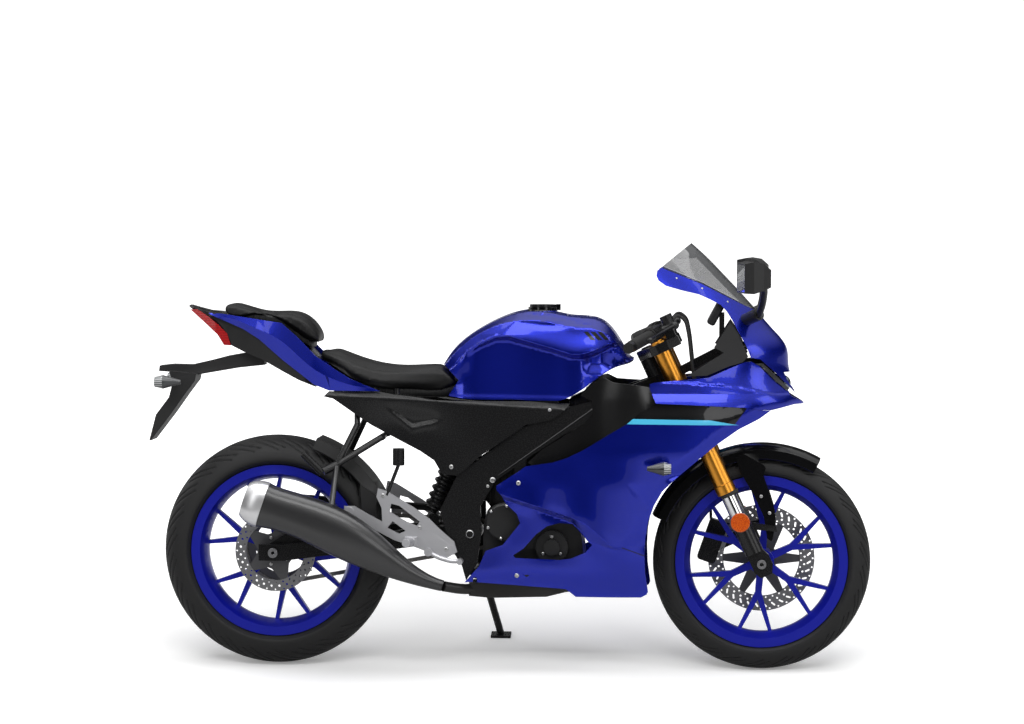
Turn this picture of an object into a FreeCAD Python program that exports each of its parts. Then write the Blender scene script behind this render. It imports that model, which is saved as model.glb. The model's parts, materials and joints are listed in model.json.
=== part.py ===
import FreeCAD, Part
import Sketcher
import math
import os
from FreeCAD import Placement, Rotation, Vector

# A light sport motorcycle, millimetres. It is drawn upright, +X forward, +Y to its left, +Z up,
# with the floor at 0 and the origin midway between the axles. At the end every sub-part gets the
# same placement, which leans the machine over onto its side stand.

document = FreeCAD.newDocument("sport_motorcycle")
sheet = document.addObject("Spreadsheet::Sheet", "sizes")
sheet_rows = []
sub_parts = []


class Dim(float):
    """A length that knows the sheet cells it is worked out from."""

    def __new__(cls, value, text):
        self = float.__new__(cls, value)
        self.text = text
        return self

    def __add__(self, other):
        return Dim(float(self) + float(other), "(" + self.text + " + " + said(other) + ")")

    def __radd__(self, other):
        return Dim(float(other) + float(self), "(" + said(other) + " + " + self.text + ")")

    def __sub__(self, other):
        return Dim(float(self) - float(other), "(" + self.text + " - " + said(other) + ")")

    def __rsub__(self, other):
        return Dim(float(other) - float(self), "(" + said(other) + " - " + self.text + ")")

    def __mul__(self, other):
        return Dim(float(self) * float(other), "(" + self.text + " * " + said(other) + ")")

    def __rmul__(self, other):
        return Dim(float(other) * float(self), "(" + said(other) + " * " + self.text + ")")

    def __truediv__(self, other):
        return Dim(float(self) / float(other), "(" + self.text + " / " + said(other) + ")")

    def __neg__(self):
        return Dim(-float(self), "(0 - " + self.text + ")")


def said(value):
    """How a value is written in an expression."""
    if isinstance(value, Dim):
        return value.text
    return repr(float(value))


def size(alias, value, meaning):
    """Put one driving size in the sheet and hand it back."""
    sheet_rows.append(alias)
    row = str(len(sheet_rows))
    sheet.set("A" + row, meaning)
    sheet.set("B" + row, str(value))
    sheet.setAlias("B" + row, alias)
    return Dim(value, "sizes." + alias)


# Layout
wheelbase = size("wheelbase", 1325, "axle to axle")
rake = size("rake", 25, "steering axis from the vertical, degrees")
fork_offset = size("fork_offset", 44, "front axle ahead of the steering axis")
leg_setback = size("leg_setback", 5, "fork legs behind the front axle")
leg_spacing = size("leg_spacing", 196, "fork leg to fork leg")
lean = size("lean", 10, "lean onto the side stand, degrees")
body_half = size("body_half", 200, "half the width of the fairing at its widest")
gap = size("gap", 0.3, "clearance between pieces that seat on each other")

# Wheels
front_radius = size("front_radius", 296, "front tyre radius")
front_width = size("front_width", 100, "front tyre width")
rear_radius = size("rear_radius", 314, "rear tyre radius")
rear_width = size("rear_width", 140, "rear tyre width")
bead_radius = size("bead_radius", 218, "seat of the tyre on the rim")
flange_height = size("flange_height", 16, "rim flange above the seat")
front_rim_width = size("front_rim_width", 72, "front rim between its flanges")
rear_rim_width = size("rear_rim_width", 104, "rear rim between its flanges")
spoke_width = size("spoke_width", 10, "width of one thin spoke")
spoke_depth = size("spoke_depth", 24, "spokes along the axle")
spoke_arms = size("spoke_arms", 6, "arms that split into two spokes")
axle_radius = size("axle_radius", 7.5, "both axles")
running = size("running", 0.05, "clearance of a shaft in its hole")
front_disc_radius = size("front_disc_radius", 146, "front brake disc")
rear_disc_radius = size("rear_disc_radius", 110, "rear brake disc")
disc_thickness = size("disc_thickness", 4.5, "both brake discs")
front_disc_plane = size("front_disc_plane", 62, "front disc from the middle, left")
rear_disc_plane = size("rear_disc_plane", 74, "rear disc from the middle, right")
chain_line = size("chain_line", 82, "chain from the middle, left")
sprocket_radius = size("sprocket_radius", 103, "pitch radius of the rear sprocket")
sprocket_teeth = size("sprocket_teeth", 52, "rear sprocket")
front_sprocket_radius = size("front_sprocket_radius", 29, "pitch radius of the front sprocket")

# Fork and bars, along the steering axis from the level of the axle
outer_tube_radius = size("outer_tube_radius", 25, "gold outer tube")
inner_tube_radius = size("inner_tube_radius", 20.5, "chromed inner tube")
outer_tube_foot = size("outer_tube_foot", 213, "lower end of the outer tube")
fork_top = size("fork_top", 668, "upper end of the fork")
head_foot = size("head_foot", 476, "lower end of the steering head")
head_length = size("head_length", 154, "steering head")
head_radius = size("head_radius", 30, "steering head, outside")
stem_radius = size("stem_radius", 14, "steering stem")
yoke_thickness = size("yoke_thickness", 26, "both yokes")
bar_radius = size("bar_radius", 11, "handlebar tube")
bar_half = size("bar_half", 335, "bar end from the middle")
grip_radius = size("grip_radius", 16, "rubber grip")

# Frame and swingarm
pivot_x = size("pivot_x", -127, "swingarm pivot, forward")
pivot_z = size("pivot_z", 370, "swingarm pivot, up")
spar_half = size("spar_half", 112, "frame spar outside, from the middle")
spar_thickness = size("spar_thickness", 20, "frame spar across")
arm_half = size("arm_half", 122, "swingarm outside, from the middle")
arm_thickness = size("arm_thickness", 22, "swingarm rail across")
shell = size("shell", 3.5, "thickness of the painted panels")

document.recompute()

drawn_wheelbase = 1325.0
drawn_body_half = 200.0
front_axle_x = wheelbase / 2
rear_axle_x = -wheelbase / 2
half_legs = leg_spacing / 2


def along(x):
    """A place along the machine, as drawn for the first wheelbase."""
    return x * wheelbase / drawn_wheelbase


def across(y):
    """A place across the bodywork, as drawn for the first body width."""
    return y * body_half / drawn_body_half


rake_angle = math.radians(rake)
forward = Vector(math.cos(rake_angle), 0, math.sin(rake_angle))
upward = Vector(-math.sin(rake_angle), 0, math.cos(rake_angle))
front_axle = Vector(front_axle_x, 0, front_radius)
rear_axle = Vector(rear_axle_x, 0, rear_radius)
steering_foot = front_axle - forward * fork_offset
steering_place = Placement(steering_foot, Rotation(Vector(0, 1, 0), -float(rake)))
front_wheel_place = Placement(front_axle, Rotation(Vector(0, 1, 0), -25))
rear_wheel_place = Placement(rear_axle, Rotation(Vector(0, 1, 0), -42))
upright = Placement()


def steered(x, z):
    """A point of the side view, given in the fork's own directions."""
    offset = Vector(x, 0, z) - steering_foot
    return offset.dot(forward), offset.dot(upward)


# Features that the sub-parts share

def keep(item, label, place=upright):
    """Name a finished sub-part and note where it sits on the upright machine."""
    item.Label = label
    sub_parts.append((item, label, place))
    return item


def body(name):
    item = document.addObject("PartDesign::Body", name + "_body")
    return item


def sketch(owner, role, shift=0):
    """A sketch on one of the body's own planes, or beside it by a distance."""
    plane = [item for item in owner.Origin.OriginFeatures if item.Role == role][0]
    item = owner.newObject("Sketcher::SketchObject", owner.Name + "_sketch")
    item.AttachmentSupport = [(plane, "")]
    item.MapMode = "FlatFace"
    item.AttachmentOffset = Placement(Vector(0, 0, shift), Rotation())
    if isinstance(shift, Dim):
        item.setExpression("AttachmentOffset.Base.z", shift.text)
    return item


def hold(drawing, edge, point, place):
    """Fix one point of a sketch at its two distances from the origin."""
    for kind, value in (("DistanceX", place[0]), ("DistanceY", place[1])):
        rule = Sketcher.Constraint(kind, -1, 1, edge, point, float(value))
        index = drawing.addConstraint(rule)
        if isinstance(value, Dim):
            drawing.setExpression("Constraints[" + str(index) + "]", value.text)


def outline(drawing, corners):
    """A closed outline of straight edges."""
    first = drawing.GeometryCount
    count = len(corners)
    for index, corner in enumerate(corners):
        after = corners[(index + 1) % count]
        start = Vector(corner[0], corner[1], 0)
        drawing.addGeometry(Part.LineSegment(start, Vector(after[0], after[1], 0)), False)
    for index, corner in enumerate(corners):
        after = first + (index + 1) % count
        drawing.addConstraint(Sketcher.Constraint("Coincident", first + index, 2, after, 1))
        hold(drawing, first + index, 1, corner)


def circle(drawing, x, y, radius):
    edge = drawing.GeometryCount
    drawing.addGeometry(Part.Circle(Vector(x, y, 0), Vector(0, 0, 1), radius), False)
    hold(drawing, edge, 3, (x, y))
    index = drawing.addConstraint(Sketcher.Constraint("Radius", edge, float(radius)))
    if isinstance(radius, Dim):
        drawing.setExpression("Constraints[" + str(index) + "]", radius.text)


def bind(item, name, value):
    setattr(item, name, float(value))
    if isinstance(value, Dim):
        item.setExpression(name, value.text)


def revolve(owner, corners, role="XY_Plane", axis="V_Axis", kind="Revolution"):
    """Turn an outline about the sketch's own upright axis."""
    drawing = sketch(owner, role)
    outline(drawing, corners)
    item = owner.newObject("PartDesign::" + kind, owner.Name + "_turned")
    item.Profile = drawing
    item.ReferenceAxis = (drawing, [axis])
    item.Angle = 360
    return item


def pad(owner, role, corners, length, holes=(), shift=0):
    """Pad an outline the same way to both sides of its plane."""
    drawing = sketch(owner, role, shift)
    outline(drawing, corners)
    for x, y, radius in holes:
        circle(drawing, x, y, radius)
    item = owner.newObject("PartDesign::Pad", owner.Name + "_pad")
    item.Profile = drawing
    bind(item, "Length", length)
    item.Midplane = True
    return item


def pad_disc(owner, role, x, y, radius, length, shift=0):
    """Pad a round boss the same way to both sides of its plane."""
    drawing = sketch(owner, role, shift)
    circle(drawing, x, y, radius)
    item = owner.newObject("PartDesign::Pad", owner.Name + "_pad")
    item.Profile = drawing
    bind(item, "Length", length)
    item.Midplane = True
    return item


def cut_through(owner, role, length, corners=(), holes=(), shift=0):
    """Pocket an outline or round holes right through."""
    drawing = sketch(owner, role, shift)
    if corners:
        outline(drawing, corners)
    for x, y, radius in holes:
        circle(drawing, x, y, radius)
    item = owner.newObject("PartDesign::Pocket", owner.Name + "_pocket")
    item.Profile = drawing
    bind(item, "Length", length)
    item.Midplane = True
    return item


def around(owner, feature, count, role="Y_Axis"):
    """Repeat a feature all the way round the body's axle."""
    document.recompute()
    axle = [item for item in owner.Origin.OriginFeatures if item.Role == role][0]
    item = owner.newObject("PartDesign::PolarPattern", owner.Name + "_ring")
    item.Originals = [feature]
    item.Axis = (axle, [""])
    item.Angle = 360
    item.Occurrences = int(count)
    if isinstance(count, Dim):
        item.setExpression("Occurrences", count.text)
    owner.Tip = item
    return item


def shaped(label, shape, place=upright):
    """A sub-part whose curved shape is worked out here from the sheet's sizes."""
    item = document.addObject("Part::Feature", label)
    item.Shape = shape if shape.Placement.isIdentity() else Part.makeCompound([shape])
    return keep(item, label, place)


def rod(start, end, radius):
    """A round bar from one point to another."""
    run = end - start
    return Part.makeCylinder(radius, run.Length, start, run)


def plate(points, low, high):
    """A flat plate cut to a side outline, from one distance across to another."""
    corners = [Vector(x, low, z) for x, z in points]
    face = Part.Face(Part.makePolygon(corners + corners[:1]))
    return face.extrude(Vector(0, high - low, 0))


def both_sides(solid):
    """A solid and its mirror image on the other side of the machine."""
    return Part.makeCompound([solid, mirrored(solid)])


def mirrored(solid):
    return solid.mirror(Vector(0, 0, 0), Vector(0, 1, 0))


def joined(pieces):
    return pieces[0].fuse(pieces[1:]).removeSplitter() if len(pieces) > 1 else pieces[0]


bend_share = 0.45


def bent_tube(points, radius):
    """A round tube along straight runs joined by arcs as large as the runs allow."""
    edges = []
    bends = []
    here = points[0]
    for before, corner, after in zip(points, points[1:], points[2:]):
        way_in = (corner - before).normalize()
        way_out = (after - corner).normalize()
        turn = way_in.getAngle(way_out)
        shorter = min((corner - before).Length, (after - corner).Length)
        reach = bend_share * shorter
        bend = reach / math.tan(turn / 2)
        bends.append(round(bend, 1))
        start = corner - way_in * reach
        end = corner + way_out * reach
        middle = (way_out - way_in).normalize()
        top = corner + middle * (bend / math.cos(turn / 2) - bend)
        edges.append(Part.LineSegment(here, start).toShape())
        edges.append(Part.Arc(start, top, end).toShape())
        here = end
    edges.append(Part.LineSegment(here, points[-1]).toShape())
    spine = Part.Wire(edges)
    section = Part.Wire(Part.makeCircle(radius, points[0], points[1] - points[0]))
    tube = spine.makePipeShell([section], True, False)
    drawn = math.pi * radius ** 2 * spine.Length
    print("tube radius", radius, "bend radii", bends, "volume to section times length",
          round(tube.Volume / drawn, 4))
    return tube


def named(label):
    return [item for item, name, place in sub_parts if name == label][0].Shape


def largest(shape):
    return max(shape.Solids, key=lambda part: part.Volume)


# Wheels, each drawn about its own axle

def make_rim(label, width, hub_half, hub_radius, turn, half_gap):
    item = body(label)
    half = width / 2
    flank = [(bead_radius, half), (bead_radius + flange_height, half + 1),
             (bead_radius + flange_height, half + 8), (bead_radius - 8, half + 8),
             (bead_radius - 15, half - 4), (bead_radius - 24, 14)]
    revolve(item, flank + [(r, -y) for r, y in reversed(flank)])
    tip = bead_radius - 21
    spread = math.sin(math.radians(half_gap)) * tip
    edge = spoke_width / 2
    arm = [(hub_radius - 4, -spoke_width), (88, -(spoke_width * 0.9)), (tip, -(spread + edge)),
           (tip, -(spread - edge)), (108, 0), (tip, spread - edge), (tip, spread + edge),
           (88, spoke_width * 0.9), (hub_radius - 4, spoke_width)]
    spoke = pad(item, "XZ_Plane", arm, spoke_depth)
    bore = axle_radius + running
    revolve(item, [(bore, -hub_half), (hub_radius, -hub_half), (hub_radius, hub_half), (bore, hub_half)])
    around(item, spoke, spoke_arms)
    return keep(item, label, turn)


crown_angles = (10, 24, 40, 58, 78)


def make_tyre(label, radius, width, rim_width, place):
    """A tyre whose tread is round across, so that it rolls onto its side as it leans."""
    item = body(label)
    half = rim_width / 2 - gap
    lip = bead_radius + flange_height + gap
    crown = width / 2
    tread = [(radius - crown + crown * math.cos(math.radians(angle)), crown * math.sin(math.radians(angle)))
             for angle in crown_angles]
    flank = [(bead_radius + gap, half), (lip, half), (lip + 2, half + 9)] + tread[::-1]
    revolve(item, flank + [(radius, 0.0)] + [(r, -y) for r, y in reversed(flank)])
    return keep(item, label, place)


front_hub_half = 44
rear_hub_half = 58
front_hub_radius = 34
rear_hub_radius = 46
make_rim("front_rim", front_rim_width, front_hub_half, front_hub_radius, front_wheel_place, 13)
make_rim("rear_rim", rear_rim_width, rear_hub_half, rear_hub_radius, rear_wheel_place, 14)
make_tyre("front_tyre", front_radius, front_width, front_rim_width, front_wheel_place)
make_tyre("rear_tyre", rear_radius, rear_width, rear_rim_width, rear_wheel_place)


def make_brake_disc(label, radius, band, plane, foot_radius, foot, side, place):
    """The ground ring, the arms to the hub and the flange that bolts to the wheel."""
    item = body(label)
    low = (plane - disc_thickness / 2) * side
    high = (plane + disc_thickness / 2) * side
    revolve(item, [(radius - band, low), (radius, low), (radius, high), (radius - band, high)])
    seat = foot * side
    revolve(item, [(axle_radius + 6, seat), (foot_radius, seat), (foot_radius, high),
                   (axle_radius + 6, high)])
    reach = [(foot_radius - 4, -9), (radius - band + 3, -5), (radius - band + 3, 5), (foot_radius - 4, 9)]
    arm = pad(item, "XZ_Plane", reach, disc_thickness, shift=-plane * side)
    around(item, arm, 6)
    return keep(item, label, place)


make_brake_disc("front_disc", front_disc_radius, 42, front_disc_plane, 40, front_hub_half + gap, 1,
                front_wheel_place)
make_brake_disc("rear_disc", rear_disc_radius, 30, rear_disc_plane, 50, rear_hub_half + gap, -1,
                rear_wheel_place)



def make_sprocket():
    """The toothed ring, its carrier and the flange on the hub."""
    item = body("rear_sprocket")
    low = chain_line - 3
    high = chain_line + 3
    root_radius = sprocket_radius - 6
    revolve(item, [(root_radius - 20, low), (root_radius, low), (root_radius, high),
                   (root_radius - 20, high)])
    revolve(item, [(axle_radius + 12, rear_hub_half + gap), (44, rear_hub_half + gap), (44, high),
                   (axle_radius + 12, high)])
    tooth = [(root_radius - 3, -4.2), (sprocket_radius + 4, -1.4), (sprocket_radius + 4, 1.4),
             (root_radius - 3, 4.2)]
    crown = pad(item, "XZ_Plane", tooth, 6, shift=-chain_line)
    around(item, crown, sprocket_teeth)
    reach = [(40, -14), (root_radius - 17, -8), (root_radius - 17, 8), (40, 14)]
    arm = pad(item, "XZ_Plane", reach, 6, shift=-chain_line)
    around(item, arm, 5)
    return keep(item, "rear_sprocket", rear_wheel_place)


make_sprocket()

# Steering, drawn along its own axis: x ahead of the axis, z up along it from the axle's level
leg_x = fork_offset - leg_setback
casting_half = 17
leg_inner_face = half_legs - casting_half
head_top = head_foot + head_length
yoke_gap = 1


def fork_leg(side):
    """Centre of one fork leg at a height along the axis."""
    return lambda height: Vector(leg_x, side * half_legs, height)


def make_fork_outer_tubes():
    tubes = []
    for side in (-1, 1):
        leg = fork_leg(side)
        tube = rod(leg(outer_tube_foot), leg(fork_top - 6), outer_tube_radius)
        collar = rod(leg(outer_tube_foot), leg(outer_tube_foot + 26), outer_tube_radius + 2.5)
        cap = rod(leg(fork_top - 6), leg(fork_top), outer_tube_radius - 5)
        tubes.append(joined([tube, collar, cap]))
    shaped("fork_outer_tubes", Part.makeCompound(tubes), steering_place)


casting_top = 136


def make_fork_inner_tubes():
    tubes = []
    for side in (-1, 1):
        leg = fork_leg(side)
        tubes.append(rod(leg(casting_top), leg(outer_tube_foot), inner_tube_radius))
    shaped("fork_inner_tubes", Part.makeCompound(tubes), steering_place)


def make_fork_castings():
    """The black feet of the fork, with the axle clamps and the fender bosses."""
    castings = []
    for side in (-1, 1):
        leg = fork_leg(side)
        foot = rod(leg(34), leg(casting_top), inner_tube_radius + 5)
        low = side * half_legs - casting_half
        clamp_outline = [(leg_x - 22, -14), (leg_x - 12, -34), (fork_offset + 16, -34),
                         (fork_offset + 28, -12), (fork_offset + 28, 14), (leg_x + 20, 46), (leg_x - 22, 60)]
        clamp = plate(clamp_outline, low, low + 2 * casting_half)
        boss = plate([(leg_x + 15, 96), (leg_x + 78, 60), (leg_x + 82, 74), (leg_x + 15, 120)],
                     side * 73.5 - 5, side * 73.5 + 5)
        hole = Part.makeCylinder(axle_radius + running, 400, Vector(fork_offset, -200, 0), Vector(0, 1, 0))
        castings.append(joined([foot, clamp, boss]).cut(hole))
    shaped("fork_castings", Part.makeCompound(castings), steering_place)


front_hub_end = front_hub_half + gap
axle_tip = half_legs + casting_half + 8
front_axle_bore = 5.5


def make_front_axle():
    """The hollow spindle with its two spacers and its head and nut."""
    centre = Vector(fork_offset, 0, 0)
    pieces = [Part.makeCylinder(axle_radius, 2 * axle_tip, centre + Vector(0, -axle_tip, 0), Vector(0, 1, 0))]
    for side in (-1, 1):
        axis = Vector(0, side, 0)
        spacer = leg_inner_face - gap - front_hub_end - gap
        pieces.append(Part.makeCylinder(axle_radius + 5.5, spacer, centre + axis * (front_hub_end + gap),
                                        axis))
        head = half_legs + casting_half + gap
        pieces.append(Part.makeCylinder(axle_radius + 5, axle_tip - head, centre + axis * head, axis))
    bore = Part.makeCylinder(front_axle_bore, 400, centre + Vector(0, -200, 0), Vector(0, 1, 0))
    shaped("front_axle", joined(pieces).cut(bore), steering_place)


stem_bore_radius = 8
stem_bore_depth = 34


def yoke_outline(front):
    """Half outline of a yoke seen along the steering axis, mirrored to both legs."""
    right = [(-30, 14), (-18, 32), (leg_x - 34, half_legs - 12), (leg_x - 30, half_legs + 22),
             (leg_x - 10, half_legs + 34), (leg_x + 22, half_legs + 32), (front, half_legs + 14),
             (front, half_legs - 22), (leg_x + 2, 30)]
    return right + [(x, -y) for x, y in reversed(right)]


def make_yokes():
    tube_hole = outer_tube_radius + gap
    lower = body("lower_yoke")
    lower_middle = head_foot - yoke_gap - yoke_thickness / 2
    legs = [(leg_x, half_legs, tube_hole), (leg_x, -half_legs, tube_hole)]
    pad(lower, "XY_Plane", yoke_outline(leg_x + 34), yoke_thickness, holes=legs + [(0, 0, 11)],
        shift=lower_middle)
    stem_top = head_top + yoke_gap + yoke_thickness + 4
    stem_foot = lower_middle - yoke_thickness / 2
    bore_top = stem_foot + stem_bore_depth
    revolve(lower, [(0, bore_top), (stem_bore_radius, bore_top), (stem_bore_radius, stem_foot),
                    (stem_radius, stem_foot), (stem_radius, stem_top), (0, stem_top)], role="XZ_Plane")
    upper = body("upper_yoke")
    upper_middle = head_top + yoke_gap + yoke_thickness / 2
    stem_hole = (0, 0, stem_radius + gap)
    pad(upper, "XY_Plane", yoke_outline(leg_x + 56), yoke_thickness, holes=legs + [stem_hole],
        shift=upper_middle)
    document.recompute()
    yokes = document.addObject("Part::Compound", "yokes")
    yokes.Links = [lower, upper]
    keep(yokes, "yokes", steering_place)


yoke_top = head_top + yoke_gap + yoke_thickness
bar_foot = Vector(leg_x + 34, half_legs + 4, yoke_top + 32)
bar_end = Vector(-27, bar_half, yoke_top + 29)


def on_bar(reach, side):
    """A point on the bar's centre line, this far out from the middle."""
    share = (reach - bar_foot.y) / (bar_end.y - bar_foot.y)
    point = bar_foot + (bar_end - bar_foot) * share
    return Vector(point.x, side * point.y, point.z)


grip_inner = 200
switch_inner = 166


def bar_sleeve(side, start, end, radius, bore):
    """A round housing on the bar, between two distances from the middle."""
    first = on_bar(start, side)
    last = on_bar(end, side)
    return rod(first, last, radius).cut(rod(first, last, bore))


def make_handlebars():
    bars = []
    for side in (-1, 1):
        holder = Part.makeBox(26, 34, 40, Vector(leg_x + 27, half_legs - 12, yoke_top + gap))
        if side < 0:
            holder = mirrored(holder)
        tube = rod(on_bar(half_legs + 4, side), on_bar(bar_half, side), bar_radius)
        weight = rod(on_bar(bar_half - 14, side), on_bar(bar_half + 5, side), grip_radius - 1)
        housing = rod(on_bar(switch_inner, side), on_bar(grip_inner - 1, side), grip_radius + 5)
        bars.append(joined([holder, tube, weight, housing]))
    shaped("handlebars", Part.makeCompound(bars), steering_place)


def make_grips():
    grips = []
    for side in (-1, 1):
        sleeve = bar_sleeve(side, grip_inner, bar_half - 15, grip_radius, bar_radius + gap)
        collar = bar_sleeve(side, grip_inner, grip_inner + 6, grip_radius + 4, bar_radius + gap)
        grips.append(joined([sleeve, collar]))
    shaped("grips", Part.makeCompound(grips), steering_place)


lever_reach = 52


def make_levers():
    """Both lever perches with their blades, and the brake cylinder's reservoir on the right one."""
    levers = []
    for side in (-1, 1):
        perch = bar_sleeve(side, switch_inner - 22, switch_inner - 1, bar_radius + 8, bar_radius + gap)
        root = on_bar(switch_inner - 11, side) + Vector(16, 0, 0)
        knuckle = root + Vector(lever_reach - 16, side * 14, -3)
        arm = rod(root, knuckle, 9)
        tip = on_bar(bar_half - 6, side) + Vector(lever_reach + 4, 0, -6)
        middle = on_bar(grip_inner + 40, side) + Vector(lever_reach - 8, 0, -4)
        blade = bent_tube([knuckle, middle, tip], 5)
        pieces = [perch, arm, blade, Part.makeSphere(8, tip), Part.makeSphere(11, knuckle)]
        if side < 0:
            pot = root + Vector(22, 8, -2)
            pieces.append(rod(pot + Vector(-3, 15, 0), pot + Vector(9, -29, 0), 10))
            pieces.append(rod(pot + Vector(0, 0, 4), pot + Vector(0, 0, 34), 17))
        levers.append(joined(pieces))
    shaped("levers", Part.makeCompound(levers), steering_place)


fender_gap = 20
fender_half = 61
fender_wall = 3


def make_front_fender():
    """A channel bent over the tyre, with a wing down the front of each fork leg."""
    crown = front_radius + fender_gap
    profile = [(crown - 34, fender_half), (crown - 10, fender_half - 1), (crown, fender_half - 14),
               (crown + 5, 20), (crown + 7, 0)]
    outside = profile + [(r, -y) for r, y in reversed(profile[:-1])]
    inside = [(r - fender_wall, max(-fender_half + fender_wall, min(fender_half - fender_wall, y * 0.95)))
              for r, y in reversed(outside)]
    corners = [Vector(r, y, 0) for r, y in outside + inside]
    face = Part.Face(Part.makePolygon(corners + corners[:1]))
    channel = face.revolve(Vector(0, 0, 0), Vector(0, 1, 0), -97)
    channel.Placement = Placement(front_axle, Rotation(Vector(0, 1, 0), -60.5))
    wing = [(612, 592), (668, 560), (672, 552), (666, 533), (681, 491), (698, 437), (700, 420),
            (693, 362), (689, 354), (677, 362), (668, 420), (640, 480), (604, 540), (590, 580)]
    shift = front_axle_x - 662.5
    lift = front_radius - 296
    wings = [plate([(x + shift, z + lift) for x, z in wing], side * (fender_half + 5) - 1.5,
                   side * (fender_half + 5) + 1.5) for side in (-1, 1)]
    roots = [Part.makeBox(40, 6, 30, Vector(front_axle_x - 50, side * (fender_half + 1.5) - 3,
                                            front_radius + 265)) for side in (-1, 1)]
    solid = joined([channel] + wings + roots)
    solid.Placement = steering_place.inverse().multiply(solid.Placement)
    shaped("front_fender", solid, steering_place)


def make_front_caliper():
    """The radial caliper behind the left leg, over the edge of the disc."""
    reach = front_disc_radius - 4
    centre = Vector(fork_offset - reach * 0.72, front_disc_plane, reach * 0.69)
    turn = Rotation(Vector(0, 1, 0), 44)
    block = Part.makeBox(52, 62, 118, Vector(-26, -31, -59))
    block = block.makeFillet(9, block.Edges)
    block.Placement = Placement(centre, turn)
    slot = Part.makeCylinder(front_disc_radius + 5, disc_thickness + 6,
                             Vector(fork_offset, front_disc_plane - disc_thickness / 2 - 3, 0),
                             Vector(0, 1, 0))
    bridge = Part.makeBox(88, 16, 64, Vector(-30, 20, -28))
    bridge.Placement = Placement(centre + Vector(30, 0, -6), Rotation())
    leg = rod(fork_leg(1)(-40), fork_leg(1)(300), inner_tube_radius + 5 + gap)
    tyre_half = front_disc_plane - 13
    tyre_room = Part.makeCylinder(front_radius, 2 * tyre_half, Vector(fork_offset, -tyre_half, 0),
                                  Vector(0, 1, 0))
    solid = joined([block, bridge]).cut([slot, leg, tyre_room])
    shaped("front_caliper", max(solid.Solids, key=lambda part: part.Volume), steering_place)


hose_radius = 4.5


def make_hoses():
    """The hose and the cable that loop ahead of the fork, and the hose down to the caliper."""
    loop = [(76, 142, 686), (98, 120, 700), (118, 108, 708), (132, 104, 684), (122, 102, 640), (102, 98, 582),
            (86, 88, 530), (60, 64, 463)]
    hoses = [bent_tube([Vector(x, side * y, z) for x, y, z in loop], hose_radius) for side in (-1, 1)]
    drop = [(8, 110, 448), (-2, 107, 400), (-6, 104, 320), (-8, 101, 240), (-22, 94, 190), (-44, 80, 138)]
    hoses.append(bent_tube([Vector(*point) for point in drop], hose_radius - 0.5))
    held = [named("levers"), named("yokes"), named("front_caliper"), named("fork_outer_tubes")]
    shaped("hoses", Part.makeCompound([largest(hose.cut(held)) for hose in hoses]), steering_place)


def make_reflectors():
    """The round orange reflectors on the outside of the fork castings."""
    lenses = []
    for side in (-1, 1):
        x, z = steered(604 + front_axle_x - 662.5, 410 + front_radius - 296)
        foot = Vector(x, side * (half_legs + inner_tube_radius + 5 + gap), z)
        lenses.append(rod(foot, foot + Vector(0, side * 8, 0), 26))
    shaped("reflectors", Part.makeCompound(lenses), steering_place)


make_fork_outer_tubes()
make_fork_inner_tubes()
make_fork_castings()
make_front_axle()
make_yokes()
make_handlebars()
make_grips()
make_levers()
make_front_fender()
make_front_caliper()
document.recompute()
make_hoses()
make_reflectors()


def side_plate(points, low, high):
    return plate([(along(x), z) for x, z in points], low, high)


def box_loft(stations, ruled=True):
    """A solid through upright rectangles: place along, across and up, then width and height."""
    wires = []
    for x, y, z, width, height in stations:
        corners = [Vector(x, y - width / 2, z - height / 2), Vector(x, y + width / 2, z - height / 2),
                   Vector(x, y + width / 2, z + height / 2), Vector(x, y - width / 2, z + height / 2)]
        wires.append(Part.makePolygon(corners + corners[:1]))
    return Part.makeLoft(wires, True, ruled)


def across_rod(x, z, half, radius):
    """A round bar straight across the machine."""
    return Part.makeCylinder(radius, 2 * half, Vector(x, -half, z), Vector(0, 1, 0))


# Frame, engine and what hangs on them
pivot = Vector(pivot_x, 0, pivot_z)
spar_inner = spar_half - spar_thickness
pivot_bolt_radius = 9
engine_half = spar_inner - 6
engine_pin_radius = 9


def head_point(height):
    return steering_foot + upward * height


stand_pivot = Vector(along(-112), spar_half + 12, 240)
stand_foot_y = 262
lean_angle = math.radians(lean)


def floor_height(y):
    """Height of the floor in the upright drawing, on the side that the machine leans to."""
    sink = rear_width / 2 * (1 - math.cos(lean_angle))
    return y * math.tan(lean_angle) - sink / math.cos(lean_angle)


sole_height = 6
stand_foot = Vector(along(-66), stand_foot_y, floor_height(stand_foot_y) + sole_height / math.cos(lean_angle))
stand_down = stand_foot - stand_pivot
stand_folded = Vector(-245, 30, -10)
stand_axis = stand_down.cross(stand_folded).normalize()


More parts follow.
